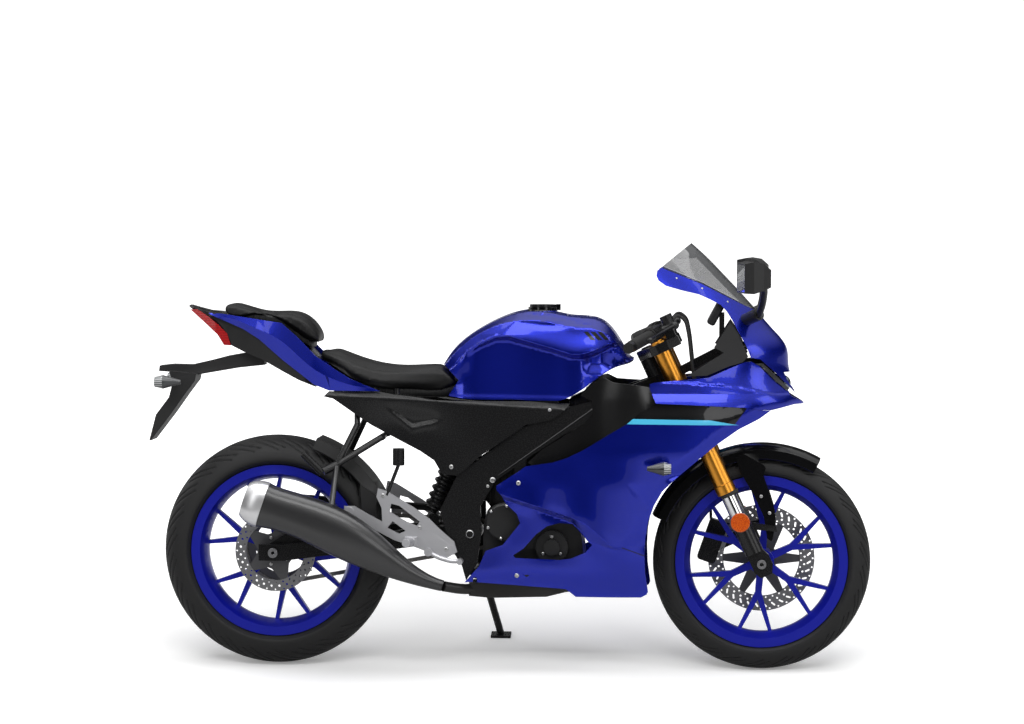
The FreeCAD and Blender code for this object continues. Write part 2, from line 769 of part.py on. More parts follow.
def make_main_frame():
    """Two pressed spars from the steering head down to the swingarm pivot, and their cross tubes."""
    spar_line = [(-163, 528), (8, 656), (135, 716), (203, 732), (208, 686), (124, 640), (51, 592),
                 (-58, 515), (-99, 445), (-97, 372), (-108, 288), (-137, 243), (-149, 284), (-178, 329),
                 (-201, 404), (-209, 433)]
    spar = side_plate(spar_line, spar_inner, spar_half)
    neck = head_point(head_foot + head_length * 0.45)
    arm = box_loft([(along(199), spar_half - spar_thickness / 2, 709, spar_thickness, 44),
                    (along(300), 72, 745, spar_thickness, 56), (neck.x - 12, 20, neck.z - 6, 22, 74)])
    head = rod(head_point(head_foot), head_point(head_foot + head_length), head_radius)
    halves = [spar, arm, mirrored(spar), mirrored(arm), head]
    tubes = [across_rod(along(-122), 560, spar_inner + 2, 15),
             across_rod(along(-126), 268, spar_inner + 2, 12),
             across_rod(along(185), 706, spar_inner + 2, 14)]
    seat_posts = [side_plate([(60, 680), (110, 700), (110, 733.7), (60, 733.7)], side * (spar_half - 12) - 9,
                             side * (spar_half - 12) + 9) for side in (-1, 1)]
    shock_lugs = [side_plate([(-126, 546), (-104, 552), (-118, 636), (-172, 636), (-178, 614), (-150, 608),
                              (-134, 600)], side * 17.3 - 3, side * 17.3 + 3) for side in (-1, 1)]
    tabs = []
    for side in (-1, 1):
        face = side * (spar_half - 4)
        tabs.append(side_plate([(-14, 600), (30, 610), (18, 504), (-2, 504)], face - 4, face + 4))
        tabs.append(rod(Vector(along(8), face, 515), Vector(along(8), side * across(173.6), 515), 7))
    lug = Part.makeBox(38, 38, 12, Vector(-19, -24, -12 - gap))
    lug.Placement = Placement(stand_pivot, Rotation(Vector(0, 0, 1), stand_axis))
    ear = side_plate([(-142, 300), (-104, 300), (-92, 232), (-132, 226)], spar_half - 8, spar_half - 1)
    pin = rod(stand_pivot - stand_axis * 6, stand_pivot + stand_axis * 24, 6)
    solid = joined(halves + tubes + seat_posts + shock_lugs + tabs + [lug, ear, pin])
    stem_bore = rod(head_point(0), head_point(fork_top), stem_radius + running)
    bolt = across_rod(pivot_x, pivot_z, 300, pivot_bolt_radius + running)
    shaped("main_frame", solid.cut([stem_bore, bolt]))


def make_engine_block():
    """The crankcase with the cylinder leaning forward on it, as one plain block."""
    item = body("engine_block")
    case = [(along(-95), 250), (along(150), 244), (along(182), 300), (along(170), 396), (along(120), 440),
            (along(-62), 440), (along(-92), 400)]
    pad(item, "XZ_Plane", case, 2 * engine_half)
    cylinder = [(along(6), 430), (along(128), 430), (along(172), 612), (along(150), 652), (along(66), 652),
                (along(46), 616)]
    pad(item, "XZ_Plane", cylinder, 124)
    pad_disc(item, "XZ_Plane", along(104), 640, engine_pin_radius, 2 * (spar_inner - gap))
    pad_disc(item, "XZ_Plane", along(-70), 426, engine_pin_radius + 4, 2 * (spar_inner - gap))
    pad_disc(item, "XZ_Plane", along(30), 266, 7, 2 * across(147.5))
    document.recompute()
    chain_room = [(along(-140), 296), (along(6), 306), (along(6), 404), (along(-140), 412)]
    cut_through(item, "XZ_Plane", 2 * chain_room_depth, corners=chain_room, shift=-engine_half)
    return item


chain_room_depth = 16
round_cover = Vector(along(-35), 0, 403)
pump_cover = Vector(along(95), 0, 335)
front_sprocket = Vector(along(-40), 0, 356)


def make_engine():
    """The block with its round bolted covers and the output sprocket."""
    block = make_engine_block()
    document.recompute()
    right = Vector(0, -1, 0)
    left = Vector(0, 1, 0)
    start = right * (engine_half - 1)
    clutch = Part.makeCylinder(52, 30, round_cover + start, right)
    clutch = clutch.makeChamfer(7, [clutch.Edges[0]])
    pump = Part.makeCylinder(44, 22, pump_cover + start, right)
    boss = Part.makeCylinder(22, 32, pump_cover + start, right)
    stator = Part.makeCylinder(64, 26, Vector(along(84), engine_half - 1, 336), left)
    shaft_root = engine_half - chain_room_depth - 1
    shaft = Part.makeCylinder(11, chain_line + 2 - shaft_root, front_sprocket + left * shaft_root, left)
    wheel = Part.makeCylinder(front_sprocket_radius - 6.5, 5, front_sprocket + left * (chain_line - 2.5),
                              left)
    covers = document.addObject("Part::Feature", "engine_covers")
    covers.Shape = joined([clutch, pump, boss, stator, shaft, wheel])
    whole = document.addObject("Part::Fuse", "engine")
    whole.Base = block
    whole.Tool = covers
    keep(whole, "engine")


def chain_tangents(grow):
    """The four corners of the straight runs, moved outward from the pitch line by grow."""
    rear = Vector(rear_axle.x, 0, rear_axle.z)
    line = front_sprocket - rear
    run = line.Length
    heading = math.atan2(line.z, line.x)
    tilt = math.asin((sprocket_radius - front_sprocket_radius) / run)
    corners = []
    for side in (1, -1):
        angle = heading + side * (math.pi / 2 - tilt)
        direction = Vector(math.cos(angle), 0, math.sin(angle))
        corners.append((rear + direction * (sprocket_radius + grow),
                        front_sprocket + direction * (front_sprocket_radius + grow)))
    return rear, heading, corners


chain_plate_inner = 4.6
chain_plate_wall = 2
chain_roller_radius = 4.2
chain_pitch = 12.7
chain_plate_half = 6
teeth_room = 48


def chain_face(grow, level):
    """The flat area inside the chain's loop, grown outward from its pitch line."""
    rear, heading, (top, bottom) = chain_tangents(grow)
    way = Vector(math.cos(heading), 0, math.sin(heading))
    rise = Vector(0, level, 0)
    back = Part.Arc(bottom[0] + rise, rear - way * (sprocket_radius + grow) + rise, top[0] + rise)
    ahead = Part.Arc(top[1] + rise, front_sprocket + way * (front_sprocket_radius + grow) + rise,
                     bottom[1] + rise)
    edges = [back.toShape(), Part.LineSegment(top[0] + rise, top[1] + rise).toShape(), ahead.toShape(),
             Part.LineSegment(bottom[1] + rise, bottom[0] + rise).toShape()]
    return Part.Face(Part.Wire(edges))


def make_drive_chain():
    """Outer plates all round, with rollers on the straight runs, clear of the rear teeth."""
    pieces = []
    for side in (-1, 1):
        level = chain_line + side * (chain_plate_inner + chain_plate_wall / 2) - chain_plate_wall / 2
        band = chain_face(chain_plate_half, level).cut(chain_face(-chain_plate_half, level))
        pieces.append(band.extrude(Vector(0, chain_plate_wall, 0)))
    low = chain_line - chain_plate_inner - chain_plate_wall / 2
    across_chain = 2 * chain_plate_inner + chain_plate_wall
    for start, end in chain_tangents(0)[2]:
        run = end - start
        count = int((run.Length - teeth_room) / (2 * chain_pitch))
        for index in range(count):
            place = start + run * ((teeth_room + index * 2 * chain_pitch) / run.Length)
            pieces.append(Part.makeCylinder(chain_roller_radius, across_chain, Vector(place.x, low, place.z),
                                            Vector(0, 1, 0)))
    shaped("drive_chain", joined(pieces))


def make_swingarm():
    """Two box rails on a pivot tube, bridged ahead of the tyre, with its pivot bolt."""
    outer = arm_half - arm_thickness / 2
    root = chain_line - 24
    rail = box_loft([(pivot_x - 4, root, pivot_z - 4, 22, 46), (along(-232), root + 2, pivot_z - 9, 24, 48),
                     (along(-345), outer, 350, arm_thickness, 50),
                     (along(-540), outer, 326, arm_thickness, 42),
                     (rear_axle_x + 30, outer, rear_radius, arm_thickness, 44),
                     (rear_axle_x - 40, outer, rear_radius, arm_thickness, 44)])
    bridge = Part.makeBox(56, 130, 40, Vector(along(-262), -65, pivot_z - 28))
    tube = across_rod(pivot_x, pivot_z, root, 27)
    collar = across_rod(pivot_x, pivot_z, spar_inner - gap, 12)
    bolt = across_rod(pivot_x, pivot_z, spar_half + 10, pivot_bolt_radius)
    hub_hole = across_rod(rear_axle_x, rear_radius, 200, axle_radius + running)
    lug = Part.makeBox(26, 36, 34, Vector(along(-246), -18, pivot_z + 8))
    solid = joined([rail, mirrored(rail), bridge, tube, collar, bolt, lug])
    shaped("swingarm", solid.cut(hub_hole))


rear_axle_tip = arm_half + 12
rear_axle_bore = 4.5


def make_rear_axle():
    """The rear spindle with its two spacers and its nuts."""
    pieces = [across_rod(rear_axle_x, rear_radius, rear_axle_tip, axle_radius)]
    for side in (-1, 1):
        axis = Vector(0, side, 0)
        start = rear_axle + axis * (rear_hub_half + 2 * gap)
        spacer = arm_half - arm_thickness - gap - rear_hub_half - 2 * gap
        pieces.append(Part.makeCylinder(axle_radius + 5.5, spacer, start, axis))
        head = rear_axle + axis * (arm_half + gap)
        pieces.append(Part.makeCylinder(axle_radius + 6, rear_axle_tip - arm_half - gap, head, axis))
    shaped("rear_axle", joined(pieces).cut(across_rod(rear_axle_x, rear_radius, 300, rear_axle_bore)))


shock_foot = Vector(along(-233), 0, pivot_z + 56)
shock_head = Vector(along(-158), 0, 612)


def make_rear_shock():
    """The single damper with its coil spring, between the swingarm lug and the frame."""
    run = shock_head - shock_foot
    coils = 8
    step = run.Length * 0.86 / coils
    profile = [(0, -10), (9, -10), (9, 0), (24, 2)]
    for index in range(coils):
        base = 6 + index * step
        profile += [(23, base), (31, base + step * 0.3), (31, base + step * 0.55), (23, base + step * 0.85)]
    profile += [(26, run.Length - 14), (12, run.Length - 8), (0, run.Length - 8)]
    corners = [Vector(r, 0, level) for r, level in profile]
    coil = Part.Face(Part.makePolygon(corners + corners[:1])).revolve(Vector(0, 0, 0), Vector(0, 0, 1), 360)
    coil.Placement = Placement(shock_foot, Rotation(Vector(0, 0, 1), run))
    eye = Part.makeCylinder(15, 28, shock_head + Vector(0, -14, 0), Vector(0, 1, 0))
    solid = joined([coil, eye]).cut(named("swingarm"))
    shaped("rear_shock", largest(solid))


def rear_caliper():
    """The small caliper and its bracket, inside the right rail over the disc."""
    centre = rear_axle + Vector(86, -rear_disc_plane, 62)
    block = Part.makeBox(70, 40, 52, centre + Vector(-35, -20, -26))
    block = block.makeFillet(8, block.Edges)
    bracket = plate([(rear_axle.x - 16, rear_axle.z - 16), (rear_axle.x + 20, rear_axle.z - 16),
                     (centre.x + 30, centre.z - 20), (centre.x - 20, centre.z + 10),
                     (rear_axle.x - 16, rear_axle.z + 20)],
                    -(arm_half - arm_thickness - gap), -(rear_disc_plane + disc_thickness / 2 + 6))
    slot = Part.makeCylinder(rear_disc_radius + 6, disc_thickness + 8,
                             rear_axle + Vector(0, -rear_disc_plane - disc_thickness / 2 - 4, 0),
                             Vector(0, 1, 0))
    spindle = across_rod(rear_axle_x, rear_radius, 300, axle_radius + 5.5 + gap)
    tyre_room = across_rod(rear_axle_x, rear_radius, 63, rear_radius)
    solid = joined([block, bracket]).cut([slot, spindle, tyre_room])
    return largest(solid)


radiator_half = 128


def make_radiator():
    """The core between its tanks, hung from the frame by two stays."""
    core = Part.makeBox(26, 2 * radiator_half - 44, 190, Vector(along(298), -radiator_half + 22, 410))
    tanks = [Part.makeBox(32, 22, 200, Vector(along(295), side * (radiator_half - 11) - 11, 405))
             for side in (-1, 1)]
    stays = [rod(Vector(along(305), side * 62, 596), Vector(along(292), side * 74, 716.5), 6)
             for side in (-1, 1)]
    brackets = [rod(Vector(along(311), side * (radiator_half - 10), 566),
                    Vector(along(311), side * across(195), 566), 7) for side in (-1, 1)]
    solid = joined([core] + tanks + stays + brackets).cut(named("main_frame"))
    shaped("radiator", largest(solid))


def make_exhaust_pipe():
    """The header, the flat chamber under the engine and the outlet to the silencer."""
    route = [Vector(along(180), -24, 560), Vector(along(232), -24, 548), Vector(along(262), -26, 470),
             Vector(along(240), -28, 330), Vector(along(206), -30, 250), Vector(along(140), -30, 222),
             Vector(along(90), -30, 219)]
    header = bent_tube(route, 17)
    chamber = box_loft([(along(132), -30, 222, 70, 26), (along(80), -30, 218, 130, 38),
                        (along(-70), -30, 216, 140, 42), (along(-130), -60, 218, 84, 36)])
    outlet = bent_tube([Vector(along(-110), -76, 217), Vector(along(-150), -112, 219),
                        Vector(along(-197), -149, 231)], 14)
    solid = joined([header, chamber, outlet]).cut(named("engine"))
    shaped("exhaust_pipe", largest(solid))


def oval(centre, way, half_width, half_height):
    """A four-arc rounded section square to a direction in the side view."""
    up = Vector(-way.z, 0, way.x)
    side = Vector(0, 1, 0)
    points = []
    for index in range(12):
        angle = 2 * math.pi * index / 12
        corner = 0.78
        c = math.copysign(abs(math.cos(angle)) ** corner, math.cos(angle))
        v = math.copysign(abs(math.sin(angle)) ** corner, math.sin(angle))
        points.append(centre + side * (half_width * c) + up * (half_height * v))
    curve = Part.BSplineCurve()
    curve.interpolate(points, True)
    return Part.Wire(curve.toShape())


def make_silencer():
    """The can, lofted from its inlet pipe, and its heat shield in one."""
    stations = [(-198, -150, 232, 15, 15), (-262, -156, 254, 22, 22), (-340, -166, 295, 32, 40),
                (-424, -176, 346, 42, 58), (-520, -182, 396, 47, 62), (-680, -186, 449, 48, 62)]
    wires = []
    for index, (x, y, z, half_width, half_height) in enumerate(stations):
        before = stations[max(index - 1, 0)]
        after = stations[min(index + 1, len(stations) - 1)]
        way = Vector(after[0] - before[0], 0, after[2] - before[2]).normalize()
        wires.append(oval(Vector(along(x), y, z), -way, half_width, half_height))
    can = Part.makeLoft(wires, True, False)
    strap = rod(Vector(along(-500), -172, 420), Vector(along(-489), -131, 552), 8)
    can = joined([can, strap]).cut(named("exhaust_pipe")).cut(named("pillion_hangers"))
    shaped("silencer", largest(can))
    way = Vector(along(-680) - along(-520), 0, 449 - 396).normalize()
    start = Vector(along(-680), -186, 449) + way * gap
    cap = Part.makeLoft([oval(start, -way, 49, 63), oval(start + way * 34, -way, 46, 58),
                         oval(start + way * 54, -way, 36, 46)], True, False)
    mouth = Part.makeLoft([oval(start + way * 20, -way, 20, 26), oval(start + way * 80, -way, 20, 26)], True,
                          True)
    shaped("silencer_cap", cap.cut(mouth))


make_main_frame()
make_engine()
document.recompute()
make_drive_chain()
make_swingarm()
make_rear_axle()
make_rear_shock()
make_radiator()
make_exhaust_pipe()


def body_loft(stations, ruled=False):
    """A solid lofted through half sections, each mirrored across the middle."""
    wires = []
    for x, half in stations:
        corners = [Vector(along(x), across(y), z) for y, z in half]
        corners += [Vector(along(x), -across(y), z) for y, z in reversed(half[1:-1])]
        wires.append(Part.makePolygon(corners + corners[:1]))
    return Part.makeLoft(wires, True, ruled)


def thin_section(x, profile, wall):
    """A closed strip in one cross plane: the outside, from top to bottom, and the same moved inward."""
    inner = []
    count = len(profile)
    for index, (y, z) in enumerate(profile):
        before = profile[max(index - 1, 0)]
        after = profile[min(index + 1, count - 1)]
        run = math.hypot(after[0] - before[0], after[1] - before[1])
        inner.append((y + (after[1] - before[1]) / run * wall, z - (after[0] - before[0]) / run * wall))
    corners = [Vector(along(x), across(y), z) for y, z in list(profile) + inner[::-1]]
    return Part.makePolygon(corners + corners[:1])


def thin_loft(stations, wall, ruled=False):
    return Part.makeLoft([thin_section(x, profile, wall) for x, profile in stations], True, ruled)


# Tank, seats and tail
tank_stations = [
    (-206, [(0, 742), (80, 742), (83, 775), (84, 800), (74, 818), (40, 826), (0, 828)]),
    (-150, [(0, 737), (92, 737), (88, 790), (93, 850), (84, 880), (45, 893), (0, 897)]),
    (-60, [(0, 734), (104, 734), (98, 800), (119, 895), (102, 934), (55, 948), (0, 952)]),
    (30, [(0, 734), (111, 734), (112, 800), (138, 893), (120, 950), (65, 972), (0, 978)]),
    (110, [(0, 734), (113, 734), (122, 800), (148, 870), (130, 940), (70, 965), (0, 970)]),
    (175, [(0, 764), (110, 764), (128, 800), (150, 862), (130, 930), (70, 956), (0, 962)]),
    (235, [(0, 808), (100, 808), (118, 828), (136, 868), (118, 918), (66, 940), (0, 946)]),
    (285, [(0, 830), (80, 830), (92, 838), (98, 850), (86, 866), (48, 876), (0, 879)]),
    (311, [(0, 840), (50, 840), (56, 842), (58, 844), (50, 846), (28, 848), (0, 849)]),
]
filler_x = 62
filler_radius = 36
filler_top = 983
lid_thickness = 7
well_radius = 24
hinge_x = filler_x + filler_radius + 6
hinge_z = filler_top + 4


def make_fuel_tank():
    """The pressed tank with its knee recesses, its filler neck and the ears of the filler lid."""
    tank = body_loft(tank_stations)
    notch = [(-230, 731), (-191, 741), (-161.5, 785.5), (-201, 824.5), (-230, 836)]
    tank = tank.cut(side_plate(notch, -200, 200))
    tank = tank.cut(side_plate([(-260, 690), (160, 690), (160, 734), (-260, 734)], -200, 200))
    neck = Part.makeCylinder(filler_radius + 4, 30, Vector(along(filler_x), 0, filler_top - 30))
    pin_z = hinge_z
    ears = [Part.makeBox(12, 5, 16, Vector(along(hinge_x) - 6, side * 13.5 - 2.5,
                                           pin_z - 12)) for side in (-1, 1)]
    pin = across_rod(along(hinge_x), pin_z, 15, 2)
    well = Part.makeCylinder(well_radius, 40, Vector(along(filler_x), 0, filler_top - 34))
    shaped("fuel_tank", joined([tank, neck] + ears + [pin]).cut(well))


def make_fuel_lid():
    """The filler lid, hinged at its front edge."""
    centre = Vector(along(filler_x), 0, filler_top + gap)
    lid = Part.makeCylinder(filler_radius, lid_thickness, centre)
    tongue = Part.makeBox(along(hinge_x) - along(filler_x), 21, 4.6, centre + Vector(0, -10.5, 1.6))
    knuckle = across_rod(along(hinge_x), hinge_z, 10.5, 3.6)
    bore = across_rod(along(hinge_x), hinge_z, 20, 2 + running)
    shaped("fuel_lid", joined([lid, tongue, knuckle]).cut(bore))


def make_rider_seat():
    stations = [
        (-541, [(0, 842), (50, 842), (62, 852), (58, 864), (30, 868), (0, 869)]),
        (-500, [(0, 822), (86, 822), (100, 832), (94, 850), (50, 861), (0, 862)]),
        (-455, [(0, 794), (104, 794), (119, 806), (110, 830), (60, 844), (0, 847)]),
        (-400, [(0, 770), (106, 770), (122, 784), (112, 812), (60, 827), (0, 830)]),
        (-319, [(0, 762), (96, 762), (110, 778), (100, 804), (55, 817), (0, 819)]),
        (-250, [(0, 760), (76, 760), (86, 778), (80, 806), (45, 820), (0, 822)]),
        (-206, [(0, 762), (68, 762), (76, 782), (72, 806), (42, 818), (0, 821)]),
        (-166, [(0, 781), (60, 781), (63, 784), (62, 786), (40, 787), (0, 787.5)]),
    ]
    shaped("rider_seat", body_loft(stations).cut(named("fuel_tank")))


def make_pillion_seat():
    stations = [
        (-812, [(0, 970), (46, 970), (56, 974), (52, 980), (30, 983), (0, 984)]),
        (-740, [(0, 956), (60, 956), (73, 962), (68, 970), (40, 975), (0, 976)]),
        (-644, [(0, 943), (76, 943), (91, 950), (84, 958), (48, 964), (0, 965)]),
        (-592, [(0, 905), (80, 905), (95, 916), (88, 944), (50, 956), (0, 957)]),
        (-560, [(0, 884), (74, 884), (88, 896), (82, 920), (46, 932), (0, 934)]),
        (-543, [(0, 876), (60, 876), (70, 884), (66, 896), (38, 904), (0, 906)]),
    ]
    shaped("pillion_seat", body_loft(stations))


tail_panel_outline = [(-850, 962.5), (-811, 961), (-644, 938), (-597, 898), (-549, 850), (-500, 817),
                      (-454, 789), (-373, 756), (-513, 756), (-554, 771), (-599, 805), (-644, 839),
                      (-707, 893), (-752, 920), (-850, 960)]


def make_tail_panels():
    """The painted flanks of the tail, each with a crease along its middle."""
    stations = [
        (-856, [(44, 990), (47, 961), (40, 930)]),
        (-800, [(60, 980), (66, 951), (56, 925)]),
        (-752, [(74, 975), (82, 938), (68, 905)]),
        (-707, [(86, 965), (95, 920), (77, 878)]),
        (-644, [(97, 960), (106, 890), (86, 825)]),
        (-599, [(103, 920), (111, 852), (90, 790)]),
        (-549, [(110, 870), (116, 812), (98, 755)]),
        (-500, [(116, 835), (121, 788), (108, 740)]),
        (-450, [(121, 805), (124, 772), (116, 740)]),
        (-370, [(121, 775), (122, 757), (119, 740)]),
    ]
    panel = thin_loft(stations, shell).common(side_plate(tail_panel_outline, 20, 160))
    shaped("tail_panels", both_sides(panel))


lamp_outline = [(-903, 971), (-865, 938), (-827, 904), (-809, 875), (-790, 874), (-800, 906), (-824, 930),
                (-852, 952), (-884, 972)]


def make_tail_core():
    """The black tail moulding that carries the pillion seat, the side panels and the lamp."""
    stations = [
        (-906, [(0, 979), (34, 979), (36, 981), (34, 983), (18, 983.5), (0, 984)]),
        (-850, [(0, 936), (36, 936), (43, 950), (44, 966), (22, 969), (0, 969.5)]),
        (-800, [(0, 880), (46, 880), (56, 930), (58, 962), (30, 965), (0, 965.5)]),
        (-752, [(0, 857), (56, 857), (66, 912), (71, 950), (36, 954), (0, 954.5)]),
        (-707, [(0, 840), (66, 840), (76, 888), (83, 940), (44, 944), (0, 945)]),
        (-644, [(0, 806), (76, 806), (83, 834), (95, 928), (50, 935), (0, 936)]),
        (-599, [(0, 782), (78, 782), (87, 800), (101, 886), (54, 892), (0, 894)]),
        (-552, [(0, 764), (80, 764), (95, 774), (106, 838), (58, 844), (0, 846)]),
    ]
    core = body_loft(stations, True)
    lamp = side_plate(lamp_outline, -160, 160)
    shaped("tail_core", largest(core.cut(lamp).cut(named("pillion_seat"))))
    lens = side_plate([(x + 1, z) for x, z in lamp_outline], -52, 52)
    edge = body_loft([(-906, [(0, 860), (38, 860), (38, 990), (0, 990)]),
                      (-790, [(0, 860), (60, 860), (60, 990), (0, 990)])])
    shaped("tail_lamp", largest(lens.common(edge).cut(named("tail_core"))))


def make_subframe():
    """Two rails from the frame back under the seats, with a brace below each."""
    rails = []
    for side in (-1, 1):
        rail = bent_tube([Vector(along(-40), side * 98, 700), Vector(along(-180), side * 92, 712),
                          Vector(along(-330), side * 84, 738), Vector(along(-450), side * 80, 752),
                          Vector(along(-552.4), side * 74, 800)], 12)
        brace = bent_tube([Vector(along(-118), side * 98, 560), Vector(along(-270), side * 92, 640),
                           Vector(along(-440), side * 80, 750)], 10)
        rails += [rail, brace]
    bumpers = [rod(Vector(along(x), side * 84, 738), Vector(along(x), side * 84, 770), 9)
               for x in (-330, -390) for side in (-1, 1)]
    bridge = across_rod(along(-330), 738, 84, 10)
    bridge_back = across_rod(along(-450), 752, 80, 10)
    solid = joined(rails + bumpers + [bridge, bridge_back])
    solid = solid.cut(named("main_frame")).cut(named("tail_core")).cut(named("rider_seat"))
    shaped("subframe", largest(solid))


side_cover_outline = [(-376, 754), (-356, 751), (-302, 740), (-252, 734), (-170, 731), (37, 731), (143, 726),
                      (135, 716), (115, 696), (88, 680), (24, 668), (8, 656), (-45, 619), (-107, 577),
                      (-136, 548), (-163, 528), (-203, 532), (-225, 569), (-263, 594), (-335, 631),
                      (-397, 664), (-434, 689), (-500, 734), (-527, 740), (-513, 754)]


def make_side_covers():
    """Moulded covers between the seat, the tank and the frame spar, with a folded pocket."""
    stations = [
        (-540, [(111, 770), (108, 730), (100, 640), (96, 500)]),
        (-400, [(120, 770), (121, 740), (112, 660), (104, 500)]),
        (-285, [(121, 770), (124, 735), (113, 660), (112, 500)]),
        (-150, [(119, 770), (124, 720), (121, 620), (118, 500)]),
        (0, [(119, 770), (122, 720), (122, 640), (120, 500)]),
        (150, [(118, 770), (119, 720), (119, 640), (119, 500)]),
    ]
    cover = thin_loft(stations, shell - 0.5).common(side_plate(side_cover_outline, 60, 160))
    boss = rod(Vector(along(-100), spar_half - 12, 705), Vector(along(-100), 122, 705), 8)
    cover = largest(joined([cover, boss]).cut(named("subframe")))
    shaped("side_covers", both_sides(cover))


# Fairing
fairing_stations = [
    (-152, [(150, 760), (158, 690), (160, 600), (158, 525), (157, 512),
            (147, 498), (145, 330), (138, 267), (112, 190)]),
    (-40, [(166, 760), (172, 690), (172, 600), (170, 512), (168, 484), (156, 470),
            (150, 340), (146, 267), (118, 190)]),
    (60, [(174, 760), (182, 690), (183, 600), (181, 512), (180, 453), (164, 439),
            (156, 345), (150, 267), (122, 190)]),
    (155, [(178, 760), (188, 690), (190, 600), (189, 512), (187, 423), (168, 406),
            (158, 340), (152, 267), (124, 190)]),
    (205, [(180, 760), (191, 690), (195, 600), (193, 512), (190, 396), (172, 360),
            (162, 325), (154, 267), (126, 190)]),
    (255, [(182, 760), (194, 690), (199, 600), (197, 512), (184, 362), (177, 340),
            (166, 305), (155, 262), (126, 190)]),
    (300, [(182, 760), (195, 690), (200, 600), (195, 512), (178, 355), (173, 335),
            (164, 300), (152, 260), (124, 190)]),
    (352, [(181, 760), (193, 690), (197, 600), (186, 512), (162, 355), (158, 335),
            (150, 300), (142, 260), (118, 190)]),
    (425, [(177, 760), (188, 690), (189, 600), (176, 512), (156, 355), (152, 335),
            (146, 300), (138, 260), (114, 190)]),
    (520, [(168, 760), (176, 690), (172, 600), (160, 512), (146, 355), (142, 335),
            (136, 300), (128, 260), (108, 190)]),
    (620, [(145, 760), (148, 690), (140, 600), (128, 512), (118, 355), (116, 335),
            (112, 300), (106, 260), (90, 190)]),
    (692, [(114, 760), (116, 690), (106, 600), (96, 512), (88, 355), (86, 335),
            (82, 300), (78, 260), (70, 190)]),
]
fairing_outline = [(-52, 506), (8, 546), (27, 560), (98, 571), (136, 583), (179, 604), (201, 617), (252, 649),
                   (299, 677), (334, 707), (375, 731.5), (497, 726.5), (613, 720.5), (656, 713.5), (683, 711),
                   (652, 689), (598, 662), (539, 621), (500, 589), (422, 523), (394, 495), (372, 456),
                   (357, 413), (349, 366), (347, 323), (349, 272), (357, 220), (353, 212), (338, 204),
                   (162, 204), (136, 225), (119, 227), (-1, 235), (-121, 242), (-140, 240), (-100, 285),
                   (-82, 327), (-35, 345), (-1, 388), (12, 405), (3, 430), (-29, 460), (-37, 478), (-52, 495)]
vent_outline = [(-7, 317), (21, 336), (55, 375), (85, 398), (119, 407), (154, 405), (175, 383), (196, 358),
                (207, 349), (188, 327), (149, 310), (119, 306), (51, 308), (-1, 310)]


def make_side_fairings():
    """The large side panels, each with its ledge and its cooling vent."""
    panel = thin_loft(fairing_stations, shell)
    panel = panel.common(side_plate(fairing_outline, 40, 260)).cut(side_plate(vent_outline, 40, 260))
    panel = largest(panel.cut([named("main_frame"), named("engine"), named("radiator")]))
    stand_room = side_plate([(-170, 220), (-62, 220), (-62, 264), (-84, 300), (-170, 330)], 40, 260)
    left_panel = largest(panel.cut(stand_room))
    shaped("side_fairings", Part.makeCompound([left_panel, mirrored(panel)]))


nose_levels = [
    (700, 738, 60, 126, 168, 192),
    (728, 774, 60, 128, 167, 188),
    (775, 757, 62, 128, 164, 182),
    (825, 733, 64, 128, 158, 174),
    (873, 728, 64, 126, 150, 166),
    (927, 689, 62, 118, 145, 158),
    (980, 643, 60, 110, 139, 153),
    (1034, 594, 58, 102, 133, 150),
    (1075, 555, 55, 97, 129, 148),
    (1104, 527, 53, 93, 125, 146),
    (1133, 497, 50, 89, 121, 144),
    (1160, 466, 48, 86, 117, 142),
    (1200, 422, 46, 82, 113, 139),
]
nose_steps = (0, 35, 110, 220, 420)


def nose_ring(level, nose, halves, wall):
    """A bow seen from above, from the left side round the nose to the right, and its inner copy."""
    right = [(nose - step, half) for step, half in zip(nose_steps, (0,) + halves)]
    bow = [(x, y) for x, y in reversed(right)] + [(x, -y) for x, y in right[1:]]
    inside = []
    for index, (x, y) in enumerate(bow):
        before = bow[max(index - 1, 0)]
        after = bow[min(index + 1, len(bow) - 1)]
        run = math.hypot(after[0] - before[0], after[1] - before[1])
        inside.append((x + (after[1] - before[1]) / run * wall, y - (after[0] - before[0]) / run * wall))
    outer = [Vector(along(x), across(y), level) for x, y in bow]
    inner = [Vector(along(x), across(y), level) for x, y in inside]
    curves = []
    for points in (outer, inner[::-1]):
        curve = Part.BSplineCurve()
        curve.interpolate(points)
        curves.append(curve.toShape())
    ends = [Part.LineSegment(outer[-1], inner[-1]).toShape(), Part.LineSegment(inner[0], outer[0]).toShape()]
    return Part.Wire([curves[0], ends[0], curves[1], ends[1]])


def nose_shell(wall):
    rings = [nose_ring(level, nose, tuple(halves), wall) for level, nose, *halves in nose_levels]
    return Part.makeLoft(rings, True, False)


mid_cowl_outline = [(359, 772), (359, 784), (372, 788), (458, 796), (516, 801), (575, 827), (613, 842),
                    (629, 844), (652, 832), (691, 792), (730, 761), (737, 751), (776, 729), (776, 726),
                    (749, 726), (683, 712), (656, 714.5), (613, 721.5), (497, 727.5), (376, 732.5)]
upper_cowl_outline = [(374, 1073), (380, 1060), (400, 1046), (442, 1034), (489, 1023), (520, 1009),
                      (547, 995), (563, 978), (578, 955), (597, 920), (617, 885), (629, 854), (655, 849),
                      (700, 808), (742, 765), (776, 731), (820, 731), (820, 990), (644, 978), (613, 991),
                      (574, 1011), (497, 1050), (392, 1092), (388, 1095), (376, 1087)]
screen_outline = [(644, 979), (613, 992), (574, 1012), (497, 1051), (391, 1093.5), (388, 1096), (466, 1160),
                  (560, 1160), (700, 979)]
lamp_opening = [(690, 748), (690, 812), (800, 812), (800, 748)]


